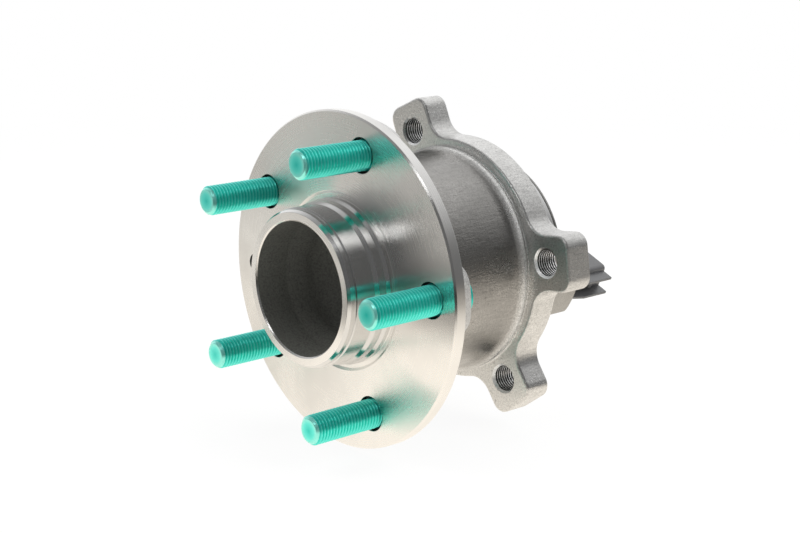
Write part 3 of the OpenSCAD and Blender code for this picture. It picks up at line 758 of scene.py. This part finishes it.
def ring_outline(ring, mm):
    """Outline of the mounting flange and its four ears, seen along Y, anticlockwise.

    Each ear is a flat bar with rounded corners. Beside it a hollow arc touches both the bar's
    side and the round flange between the ears.
    """
    flange, neck, half = mm("flange_radius"), mm("ear_neck"), mm("ear_span") / 2
    corner, reach = mm("ear_corner"), mm("ear_reach")
    out = half + neck
    along = math.sqrt((flange + neck) ** 2 - out ** 2)
    lean = math.degrees(math.atan2(out, along))
    hollow = arc((along, -out), neck, 180 - lean, 90, 15)
    side = np.column_stack([np.linspace(along, reach - corner, 6), np.full(6, -half)])
    turn_in = arc((reach - corner, -half + corner), corner, -90, 0, 12)
    end = np.column_stack([np.full(7, reach), np.linspace(-half + corner, half - corner, 7)])
    lower = np.vstack([hollow, side[1:], turn_in[1:]])
    upper = (lower * [1, -1])[::-1]
    ear = np.vstack([lower, end[1:-1], upper])
    ways = sorted(math.degrees(ring.mirror + s * a) % 360
                  for a in (ring.near, ring.far) for s in (-1, 1))
    parts = []
    for way, following in zip(ways, ways[1:] + [ways[0] + 360]):
        c, s = math.cos(math.radians(way)), math.sin(math.radians(way))
        parts.append(ear @ np.array([[c, s], [-s, c]]))
        gap = following - way - 2 * lean
        parts.append(arc((0, 0), flange, way + lean, following - lean, int(gap / 1.3) + 2)[1:-1])
    return np.vstack(parts), [math.radians(way) for way in ways]


def ring_grid(ring, mm):
    """Grid over the whole outer ring, closed both ways.

    Columns follow the outline. Rows on the barrel, bore and spigot are circles at the angles
    of the outline's columns, rows on the sides are the outline shifted along its mitres, and
    rows on the two flat faces run straight from one to the other.
    """
    outline, ways = ring_outline(ring, mm)
    mitre = mitres(outline)
    back = mm("knuckle_face")
    front = back - mm("ear_width")
    front_round, back_round = 1.1, 0.7
    inside = outline - front_round * mitre
    ray = inside / np.hypot(inside[:, 0], inside[:, 1])[:, None]

    def rows(section):
        return lift(np.stack([ray * r for r in section[:, 0]]), section[:, 1])

    def plain(first, second, shares, level):
        return lift(np.stack([first * (1 - s) + second * s for s in shares]), level)

    def side(section):
        return lift(np.stack([outline + shift * mitre for shift in section[:, 0]]), section[:, 1])

    lean, crest, top, ridge, hollow = math.radians(38), 47.3, front - 2.3, 2.7, 8.0
    lead = ridge + hollow
    barrel = np.vstack([
        corners([[39.0, 16.3], [42.8, 16.3, 0.5], [43.6, 17.1, 0.5], [44.2, 30.3, 20.0],
                 [44.8, 48.5]], 7),
        arc((crest - ridge + lead * math.cos(lean), top - lead * math.sin(lean)), hollow, 178, 142, 10),
        arc((crest - ridge, top), ridge, -34, 28, 12),
        corners([[46.92, front - 0.78], [46.7, front - 0.25, 0.45], [47.5, front, 0.8], [48.4, front]], 6)])
    face = plain(ray * 48.6, inside, np.linspace(0, 1, 7)[:-1], front)
    arris = arc((-front_round, front + front_round), front_round, -90, 0, 8)
    crown = np.column_stack([np.zeros(4), np.linspace(front + front_round, back - back_round, 6)[1:-1]])
    rear = arc((-back_round, back - back_round), back_round, 0, 90, 8)
    knuckle = plain(outline - back_round * mitre, ray * 41.8, np.linspace(0, 1, 5)[1:], back)
    spigot = corners([
        [41.7, back], [41.5, back, 0.05], [40.5, back - 0.5, 0.1], [40.5, back + 1.2, 0.2],
        [41.0, back + 1.7, 0.1], [41.0, back + 11.4, 1.0], [39.9, back + 13.0, 0.2],
        [39.4, back + 13.0, 0.1], [37.6, back + 11.2, 0.2], [37.6, back + 2.0, 0.2],
        [37.1, back + 2.0, 0.1], [37.1, back - 8.0]], 4)
    races = np.vstack([arc((PITCH_RADIUS - RACE_SHIFT, row), RACE, start, end, 10)
                       for row, start, end in ((ROW_IN, 17.3, -59.0), (ROW_OUT, 59.0, -17.3))])
    mouth = corners([[37.1, 26.0], [37.1, 20.9, 0.05], [38.0, 20.9, 0.1], [38.0, 16.9, 0.15],
                     [38.6, 16.3, 0.15], [38.9, 16.3]], 3)
    grid = np.concatenate([rows(barrel), face, side(arris), side(crown), side(rear), knuckle,
                           rows(spigot), rows(races), rows(mouth)])
    return grid[..., [0, 2, 1]], ways


def ear_thread(mm, way):
    """Male thread with a cone at each end, which cuts an ear hole and its countersinks."""
    hole, back = mm("hole_radius"), mm("knuckle_face")
    front = back - mm("ear_width")
    wide, narrow, out, sunk, columns = 7.6, 5.2, 1.5, 0.9, 56
    inner = spin(corners([[0, front - out], [wide, front - out], [narrow, front + sunk]]), columns)
    outer = spin(corners([[narrow, back - sunk], [wide, back + out], [0, back + out]]), columns)
    thread = helix(hole + 0.1, hole + 0.85, 1.25, front + sunk, back - sunk, columns, 8, 0.42)
    return turned(np.concatenate([inner[:-1], thread, outer[1:]]), way, mm("hole_circle"))


class HUBBEARING_OT_outer_ring(bpy.types.Operator):
    """Outer ring with its barrel, mounting flange and four threaded ears"""
    bl_idname = "hub_bearing.outer_ring"
    bl_label = "Outer ring"

    def execute(self, context):
        ring, mm = sizes("ring")
        grid, ways = ring_grid(ring, mm)
        piece = skin("eared_ring", grid, closed_rows=True)
        combine(piece, [ear_thread(mm, way) for way in ways], "DIFFERENCE")
        centre, r, y, tilt = face_facts(piece)
        hole, steep = off_axis(centre, mm("hole_circle"), ways), np.abs(tilt)
        back = mm("knuckle_face")
        # Zones: 0 barrel, 1 ears, 2 ground seat, 3 thread flanks in painted shade, 4 thread crests with a
        # painted highlight, and countersinks
        zones = np.zeros(len(r))
        zones[(y > 58.6) & (r > 46.9)] = 1
        zones[(y > back - 0.68) | (r < 41.2)] = 2
        zones[(hole < 6.05) & (steep < 0.97)] = 3
        zones[(hole < 5.35) & (steep < 0.3)] = 4
        zones[(hole < 6.2) & (y < back - mm("ear_width") + 0.85) & (steep < 0.97)] = 4
        dress(piece, [
            # Near the flange the barrel goes over to the forged colour made lighter still: a painted
            # highlight along the ridge.
            forged("blasted_barrel", colours("barrel"), 0.29, 1700.0, 9e-5, streaks=0.4,
                   towards=(colours("forged", 1.22), 0.0545, 0.0575)),
            forged("forged_ears", colours("forged"), 0.29, 1500.0, 7e-5, streaks=0.45,
                   metallic=0.95),
            machined("ground_seat", colours("ground"), 0.22),
            # Painted shade on the thread flanks and a painted highlight on the thread crests; the
            # countersinks are bright machined steel.
            forged("thread_flanks", colours("ground", 0.16), 0.5),
            forged("thread_crests", colours("turned"), 0.32, metallic=0.45)], zones, 34.0)
        seat(piece, STATIONARY, "forged_steel", "outer_ring")
        return {"FINISHED"}


# Sensor cap and connector

def along_sensor(points, ring):
    """Grid drawn with X outwards, its second axis across and its third along Y, turned to the sensor."""
    return turned(points[..., [0, 2, 1]], ring.mirror)


def closed(section):
    """Adds a pole at each end of a section of [offset, height]."""
    return np.vstack([[np.nan, section[0, 1]], section, [np.nan, section[-1, 1]]])


def slab(low, high, edge, foot=0.05):
    """Section of a solid with a rounded far edge and a small one at its foot."""
    line = corners([[-3 * foot, low], [0, low, foot], [0, high, edge], [-3 * edge, high]], 5)
    return closed(line[1:-1])


def shroud_plan(mm, grow=0.0):
    """Rounded outline of the connector shroud, drawn with X outwards and grown by a gap."""
    half, out = mm("shroud_span") / 2 + grow, mm("shroud_out") + grow
    inner = mm("shroud_out") - mm("shroud_span") - grow
    return loop_corners([[inner, half, 2.2], [inner, -half, 2.2], [out, -half, 2.2],
                         [out, half, 2.2]], 8)


class HUBBEARING_OT_sensor_cap(bpy.types.Operator):
    """Pressed cap behind the bearing with the pod that holds the sensor"""
    bl_idname = "hub_bearing.sensor_cap"
    bl_label = "Sensor cap"

    def execute(self, context):
        ring, ring_mm = sizes("ring")
        _, mm = sizes("sensor")
        cap, rear = mm("cap_radius"), ring_mm("ring_back")
        cup = corners([
            [0, rear + 3.8], [9.0, rear + 3.8, 1.0], [11.0, rear + 2.9, 1.0],
            [cap - 1.2, rear + 2.9, 1.6], [cap - 1.2, rear + 1.2, 0.6], [36.4, rear - 0.2, 0.6],
            [36.4, rear - 4.4, 0.2], [37.58, rear - 4.4, 0.2], [37.58, rear, 0.1],
            [40.1, rear, 0.3], [40.1, rear + 1.2, 0.4], [cap, rear + 1.2, 0.7],
            [cap, rear + 5.0, 1.6], [0, rear + 5.0]], 6)
        piece = skin("pressed_cap", spin(cup, 192))
        wide, out, inner, bend = mm("pod_span") / 2, mm("pod_radius"), 18.0, 2.4
        edge = math.degrees(math.asin(wide / out))
        side = math.sqrt(out ** 2 - wide ** 2)
        plan = [[inner, wide, bend], [inner, -wide, bend], [side, -wide, bend],
                *arc((0, 0), out, -edge, edge, 7)[1:-1], [side, wide, bend]]
        pod = loft(loop_corners(plan, 6), slab(rear + 1.3, mm("pod_end"), 1.6))
        combine(piece, along_sensor(pod, ring), "UNION")
        pocket = loft(shroud_plan(mm, 0.3), slab(mm("pod_end") - 1.5, mm("pod_end") + 2.0, 0.1))
        combine(piece, along_sensor(pocket, ring), "DIFFERENCE")
        dress(piece, [forged("pressed_steel", colours("pressed"), 0.40, 2600.0, 1.2e-5,
                             patches=0.2)], sharp=30.0)
        seat(piece, STATIONARY, "cap_steel", "sensor_cap")
        return {"FINISHED"}


def across(outline, centre, thickness, edge, ring):
    """Plate whose outline is in [radius, y] and whose thickness lies across the sensor's line."""
    section = slab(centre - thickness / 2, centre + thickness / 2, edge, edge)
    return turned(loft(outline, section), ring.mirror)


class HUBBEARING_OT_connector(bpy.types.Operator):
    """Connector shroud with its latch fins and pins"""
    bl_idname = "hub_bearing.connector"
    bl_label = "Sensor connector"

    def execute(self, context):
        ring, _ = sizes("ring")
        _, mm = sizes("sensor")
        wall, end, pod = mm("wall"), mm("shroud_end"), mm("pod_end")
        out = mm("shroud_out")
        section = corners([
            [-0.1, pod - 1.4], [0, pod - 1.4, 0.05], [0, end, 0.35], [-wall, end, 0.3],
            [-wall, end - 15.0, 0.3], [-wall - 0.6, end - 15.0]], 4)
        piece = skin("connector_shroud", along_sensor(loft(shroud_plan(mm), closed(section)), ring))
        fin = loop_corners([[out - 1.0, pod], [mm("pod_radius") - 1.8, pod, 0.3],
                            [mm("pod_radius"), pod + 7.0, 1.5], [mm("pod_radius"), end - 0.3, 0.3],
                            [out - 1.0, end - 0.3]], 4)
        ramp = loop_corners([[out - 0.5, end - 10.0], [out + 1.6, end - 9.4, 0.2],
                             [out + 1.6, end - 7.6, 0.2], [out - 0.5, end - 3.4]], 4)
        fin_offset, fin_width, ramp_width, edge = 3.65, 1.1, 4.2, 0.18
        extra = [across(fin, side * fin_offset, fin_width, edge, ring) for side in (-1, 1)]
        extra.append(across(ramp, 0.0, ramp_width, edge, ring))
        for grid in extra:
            combine(piece, grid, "UNION")
        dress(piece, [moulded("grained_plastic", colours("plastic"), 0.34, specular=1.0)], sharp=30.0)
        seat(piece, STATIONARY, "connector_plastic", "sensor_housing")
        pin_offset, half, low, high = 1.8, 0.75, 26.9, 27.7
        outline = loop_corners([[low, half, 0.2], [low, -half, 0.2], [high, -half, 0.2],
                                [high, half, 0.2]], 3)
        pin = loft(outline, slab(end - 19.0, end - 6.0, 0.2))
        pins = [along_sensor(pin + [0.0, side * pin_offset, 0.0], ring) for side in (-1, 1)]
        contacts = dress(skin("contact_pins", pins),
                         [machined("contact_brass", (0.72, 0.50, 0.20), 0.24, 3000.0, 2e-6)])
        seat(contacts, STATIONARY, "pin_brass", "connector_pins")
        return {"FINISHED"}


# Pieces held inside the bearing

# Cage: half its radial thickness, its solid side, its open side and the gap round a ball
CAGE_HALF, CAGE_BACK, CAGE_LIP, POCKET_GAP = 2.2, 8.0, 2.6, 0.2

# Each ring: name, node, body, slot, finish and its closed section of [radius, y, corner]
INNER_RINGS = [
    ("raceway_ring", "inner_ring", ROTOR, "race_steel", "race", [
        [20.02, 48.0, 0.6], [24.4, 48.0, 0.4], [25.4, 49.0, 0.2], [25.4, 58.85, 0.05],
        *arc((PITCH_RADIUS + RACE_SHIFT, ROW_IN), RACE, 208.5, 120, 12),
        [27.9, 68.2, 0.1], [27.9, 77.5, 0.2], [27.4, 78.0, 0.2], [20.02, 78.0, 0.6]]),
    ("splash_flinger", "outboard_flinger", ROTOR, "sheet_steel", "sheet", [
        [29.02, 16.7, 0.9], [36.5, 16.7, 0.1], [36.5, 17.5, 0.1], [29.82, 17.5, 0.3],
        [29.82, 20.5, 0.1], [29.02, 20.5, 0.1]]),
    ("seal_case", "outboard_seal_case", STATIONARY, "sheet_steel", "sheet", [
        [37.18, 16.6, 0.1], [37.98, 16.6, 0.1], [37.98, 20.88, 0.9], [31.58, 20.88, 0.1],
        [31.58, 20.08, 0.1], [37.18, 20.08, 0.3]]),
    ("seal_lip", "outboard_seal_lip", STATIONARY, "seal_rubber", "rubber", [
        [29.9, 19.98, 0.1], [30.8, 19.48, 0.3], [32.48, 19.58, 0.2], [33.48, 17.58, 0.1],
        [34.08, 17.58, 0.1], [33.78, 19.58, 0.2], [35.48, 19.68, 0.1], [35.68, 20.08, 0.0],
        [31.58, 20.08, 0.0], [31.58, 20.88, 0.1], [30.78, 20.88, 0.1], [29.9, 20.58, 0.1]]),
    ("encoder_hoop", "encoder_carrier", ROTOR, "sheet_steel", "sheet", [
        [27.92, 72.5, 0.1], [28.72, 72.5, 0.1], [28.72, 77.2, 0.3], [35.4, 77.2, 0.1],
        [35.4, 78.0, 0.1], [27.92, 78.0, 0.9]]),
    ("magnet_ring", "encoder_ring", ROTOR, "encoder_rubber", "rubber", [
        [29.1, 78.0, 0.0], [35.4, 78.0, 0.0], [35.4, 79.2, 0.2], [29.1, 79.2, 0.2]]),
    ("sealing_cord", "cap_seal_ring", STATIONARY, "seal_rubber", "rubber", [
        *arc((38.12, 84.48), 0.5, 0, 330, 12)]),
]


def ball_shells(level, radius):
    """Spheres of a row, each a half circle from pole to pole carried round Y."""
    half = arc((0, 0), radius, -90, 90, 25)
    half[[0, -1], 0] = 0.0
    ball = spin(half, 48) + [0.0, level, 0.0]
    return [turned(ball, a, PITCH_RADIUS) for a in equal_angles(BALL_COUNT)[0]]


class HUBBEARING_OT_inner_parts(bpy.types.Operator):
    """Balls, cages, seals and the magnetic encoder inside the bearing"""
    bl_idname = "hub_bearing.inner_parts"
    bl_label = "Inner parts"

    def execute(self, context):
        finishes = {
            "race": machined("polished_race", (0.66, 0.66, 0.67), 0.16, 5200.0, 1.5e-6, 0.05),
            "ball": machined("polished_ball", (0.72, 0.72, 0.73), 0.07, 900.0, 2e-7, 0.03),
            "sheet": forged("pressed_sheet", (0.58, 0.59, 0.60), 0.34, 2600.0, 5e-6, patches=0.15),
            "rubber": moulded("black_rubber", (0.018, 0.018, 0.019), 0.62),
            "cage": moulded("cage_nylon", (0.33, 0.25, 0.12), 0.5),
            "chip": moulded("chip_resin", (0.012, 0.012, 0.014), 0.38),
        }
        for name, node, body, slot, finish, section in INNER_RINGS:
            piece = skin(name, spin(loop_corners(section, 4), 160), closed_rows=True)
            seat(dress(piece, [finishes[finish]]), body, slot, node)
        rows = (("wheel_side", ROW_OUT, 1, "outboard"), ("knuckle_side", ROW_IN, -1, "inboard"))
        for name, level, way, node in rows:
            body = f"{node}_ball_set"
            balls = skin(f"{name}_balls", ball_shells(level, BALL))
            seat(dress(balls, [finishes["ball"]], sharp=60.0), body, "ball_steel", f"{node}_balls")
            low, high = sorted((level + way * CAGE_BACK, level - way * CAGE_LIP))
            inner, outer = PITCH_RADIUS - CAGE_HALF, PITCH_RADIUS + CAGE_HALF
            band = [[inner, low, 0.3], [outer, low, 0.3], [outer, high, 0.3], [inner, high, 0.3]]
            cage = skin(f"{name}_cage", spin(loop_corners(band, 4), 208), closed_rows=True)
            combine(cage, ball_shells(level, BALL + POCKET_GAP), "DIFFERENCE")
            seat(dress(cage, [finishes["cage"]]), body, "cage_polymer", f"{node}_cage")
        chip = frame["nodes"]["sensor_chip"]
        chip.data.materials.clear()
        chip.data.materials.append(finishes["chip"])
        return {"FINISHED"}


# Floor, light and camera

# Middle of the part, which the lights face
CENTRE = (0.0, 0.03, 0.0)
# Soft lights: name, place, width and power
LIGHTS = [
    ("key_light", (-0.55, -0.55, 0.95), 0.8, 9.0),
    ("top_light", (-0.1, 0.5, 1.1), 0.9, 8.0),
    ("side_light", (1.0, 0.45, 0.75), 0.9, 15.0),
]
# Directions in the tent: of the window, of a light patch behind and of a dark one at the front
WINDOW, PATCH_BEHIND, DARK_FRONT = (-0.814, 0.470, 0.342), (0.20, 0.62, 0.76), (-0.45, -0.68, 0.58)
TENT_RADIUS = 2.0
FLOOR_WIDTH = 12.0
# Bright panel: place, width, height and strength
SOFT_BOX = ((0.25, -0.92, 0.95), 0.44, 0.36, 2.8)
# The camera was solved from the photograph
CAMERA_PLACE, CAMERA_LOOK = (0.48228, -0.39134, 0.15723), (-0.7298, 0.6413, -0.2369)
SENSOR_WIDTH, FOCAL_LENGTH = 36.0, 72.68


def aimed(place):
    """Turn that makes a panel at a place face the part."""
    return (Vector(CENTRE) - Vector(place)).to_track_quat("-Z", "Y")


def panel_light(name, place, width, power):
    """Square soft light that faces the part and doesn't show in reflections."""
    lamp = bpy.data.lights.new(name, "AREA")
    lamp.size, lamp.energy = width, power
    holder = bpy.data.objects.new(name, lamp)
    holder.location, holder.rotation_euler = place, aimed(place).to_euler()
    holder.visible_glossy = False
    bpy.context.scene.collection.objects.link(holder)


def sheet(name, place, turn, width, height):
    """Flat rectangle in the scene, centred on a place."""
    points = [Vector(place) + turn @ Vector((x * width / 2, y * height / 2, 0.0))
              for x, y in ((-1, -1), (1, -1), (1, 1), (-1, 1))]
    return mesh_object(name, points, [(0, 1, 2, 3)])


def reflected(item, finish, glow):
    """Makes a piece of the studio glow and puts it where only reflections show it."""
    finish.surface(glow)
    item.data.materials.append(finish.material)
    item.visible_camera = item.visible_diffuse = item.visible_shadow = False
    item.visible_transmission = False


def tent():
    """Dome of grey cloth round the table, seen only in reflections.

    Its tone grows with the share c.b of a direction c in the direction b of the window: from
    almost black at the front and right to nearly white at the back left. A patch behind the part
    is lighter and one at the front left is darker.
    """
    a, e = np.meshgrid(np.radians(np.linspace(0, 360, 49)), np.radians(np.linspace(-6, 90, 17)))
    grid = np.stack([np.cos(a) * np.cos(e), np.sin(a) * np.cos(e), np.sin(e)], axis=2)
    index = np.arange(grid[..., 0].size).reshape(grid.shape[:2])
    quads = np.stack([index[:-1, :-1], index[:-1, 1:], index[1:, 1:], index[1:, :-1]], -1)
    points = grid.reshape(-1, 3) * TENT_RADIUS + CENTRE
    f = Finish("tent_cloth")
    way = f.vector("DIVIDE", f.vector("SUBTRACT", f.place, CENTRE), (TENT_RADIUS,) * 3)

    def zone(direction, *limits):
        return f.band(f.vector("DOT_PRODUCT", way, direction), *limits)

    rise = f.band(f.math("POWER", zone(WINDOW, -0.4, 0.98), 1.9), 0.0, 1.0, 0.13, 1.10)
    light = f.math("ADD", rise, zone(PATCH_BEHIND, 0.78, 0.98, 0.0, 0.36))
    dark = zone(DARK_FRONT, 0.7, 0.95, 1.0, 0.5)
    cloth = mesh_object("tent", points.tolist(), quads.reshape(-1, 4).tolist())
    reflected(cloth, f, f.glow(f.math("MULTIPLY", light, dark)))


def soft_box(place, width, height, strength):
    """Bright panel whose mirror image runs along the chamfers."""
    f = Finish("soft_box")
    reflected(sheet("soft_box", place, aimed(place), width, height), f, f.glow(strength))


def floor(low):
    """Pale floor at a height, white to the camera and warm paper in reflections.

    Reflections see a sheet of paper that ends at the front left, and the floor grows darker away
    from the part.
    """
    item = sheet("floor", (0.0, 0.0, low), Quaternion(), FLOOR_WIDTH, FLOOR_WIDTH)
    f = Finish("pale_floor")
    f.finish(colour=f.mix(f.noise(14.0, 4.0, 0.6), (0.90, 0.885, 0.855), (0.93, 0.92, 0.89)),
             roughness=0.9, specular=0.1)
    path = f.add("ShaderNodeLightPath").outputs
    pale = f.band(f.vector("LENGTH", f.place), 0.25, 0.9, 0.92, 1.0)
    seen = f.blend(f.math("MULTIPLY", path["Is Camera Ray"], pale), f.shader, f.glow(1.0))
    away = f.vector("LENGTH", f.vector("MAXIMUM", f.place, (0.0, 0.0, 0.0)))
    left = f.math("MULTIPLY", f.band(f.x, -0.22, -0.145, 1.0, 0.08),
                  f.band(f.y, -0.30, -0.20, 0.42, 1.0))
    paper = f.mix(f.band(f.y, -0.175, -0.13),
                  f.mix(left, (0.0, 0.0, 0.0), (1.0, 0.97, 0.91)), (1.04, 0.97, 0.87))
    fall = f.math("MULTIPLY", f.band(away, 0.14, 0.42, 1.08, 0.42), f.band(away, 0.42, 1.1, 1.0, 0.6))
    glossy = f.math("MAXIMUM", path["Is Glossy Ray"], path["Is Transmission Ray"])
    f.surface(f.blend(glossy, seen, f.glow(fall, paper)))
    item.data.materials.append(f.material)


def world():
    """Even light from all sides, and plain white to the camera and to reflections."""
    studio = bpy.data.worlds.new("studio")
    bpy.context.scene.world = studio
    t = Tree(studio)
    path = t.add("ShaderNodeLightPath").outputs
    seen = t.math("MAXIMUM", path["Is Camera Ray"], path["Is Glossy Ray"])
    seen = t.math("MAXIMUM", seen, path["Is Transmission Ray"])
    plain = t.add("ShaderNodeBackground", {0: (0.90, 0.92, 0.95), 1: 0.5})
    white = t.add("ShaderNodeBackground", {0: WHITE, 1: 1.0})
    t.add("ShaderNodeOutputWorld", {0: t.blend(seen, plain, white).outputs[0]})


def photo_camera():
    """Camera at the photograph's view."""
    lens = bpy.data.cameras.new("photo_camera")
    lens.sensor_width, lens.lens = SENSOR_WIDTH, FOCAL_LENGTH
    lens.clip_start, lens.clip_end = 0.01, 50.0
    camera = bpy.data.objects.new("photo_camera", lens)
    camera.location = CAMERA_PLACE
    camera.rotation_euler = Vector(CAMERA_LOOK).to_track_quat("-Z", "Y").to_euler()
    bpy.context.scene.collection.objects.link(camera)
    bpy.context.scene.camera = camera


class HUBBEARING_OT_stage(bpy.types.Operator):
    """Pale floor, soft studio light and the camera"""
    bl_idname = "hub_bearing.stage"
    bl_label = "Stage"

    def execute(self, context):
        floor(CAD_BOX[0][2])
        world()
        for light in LIGHTS:
            panel_light(*light)
        tent()
        soft_box(*SOFT_BOX)
        photo_camera()
        context.scene.view_settings.view_transform = "Standard"
        return {"FINISHED"}


class HUBBEARING_PT_panel(bpy.types.Panel):
    """Buttons that build each group of pieces"""
    bl_idname = "HUBBEARING_PT_panel"
    bl_label = "Hub bearing"
    bl_space_type = "VIEW_3D"
    bl_region_type = "UI"
    bl_category = "Hub bearing"

    def draw(self, context):
        for kind in GROUPS:
            box = self.layout.box()
            group = getattr(context.scene, "hub_bearing_" + kind)
            for name in group.__annotations__:
                box.prop(group, name)
        for operator in OPERATORS:
            self.layout.operator(operator.bl_idname)


GROUPS = {"hub": HubSizes, "studs": StudSizes, "ring": RingSizes, "sensor": SensorSizes,
          "finishes": Finishes}
OPERATORS = (
    HUBBEARING_OT_wheel_hub, HUBBEARING_OT_wheel_studs, HUBBEARING_OT_outer_ring,
    HUBBEARING_OT_sensor_cap, HUBBEARING_OT_connector, HUBBEARING_OT_inner_parts,
    HUBBEARING_OT_stage,
)


def register():
    """Registers the sizes, the operators and the panel."""
    for kind, group in GROUPS.items():
        bpy.utils.register_class(group)
        setattr(bpy.types.Scene, "hub_bearing_" + kind, PointerProperty(type=group))
    for cls in (*OPERATORS, HUBBEARING_PT_panel):
        bpy.utils.register_class(cls)


def unregister():
    """Takes the classes and the sizes out again."""
    for cls in reversed((*OPERATORS, HUBBEARING_PT_panel)):
        bpy.utils.unregister_class(cls)
    for kind, group in GROUPS.items():
        delattr(bpy.types.Scene, "hub_bearing_" + kind)
        bpy.utils.unregister_class(group)


def main():
    """Builds every piece and the stage."""
    register()
    for operator in OPERATORS:
        getattr(bpy.ops.hub_bearing, operator.bl_idname.split(".")[1])()


if __name__ == "__main__":
    main()
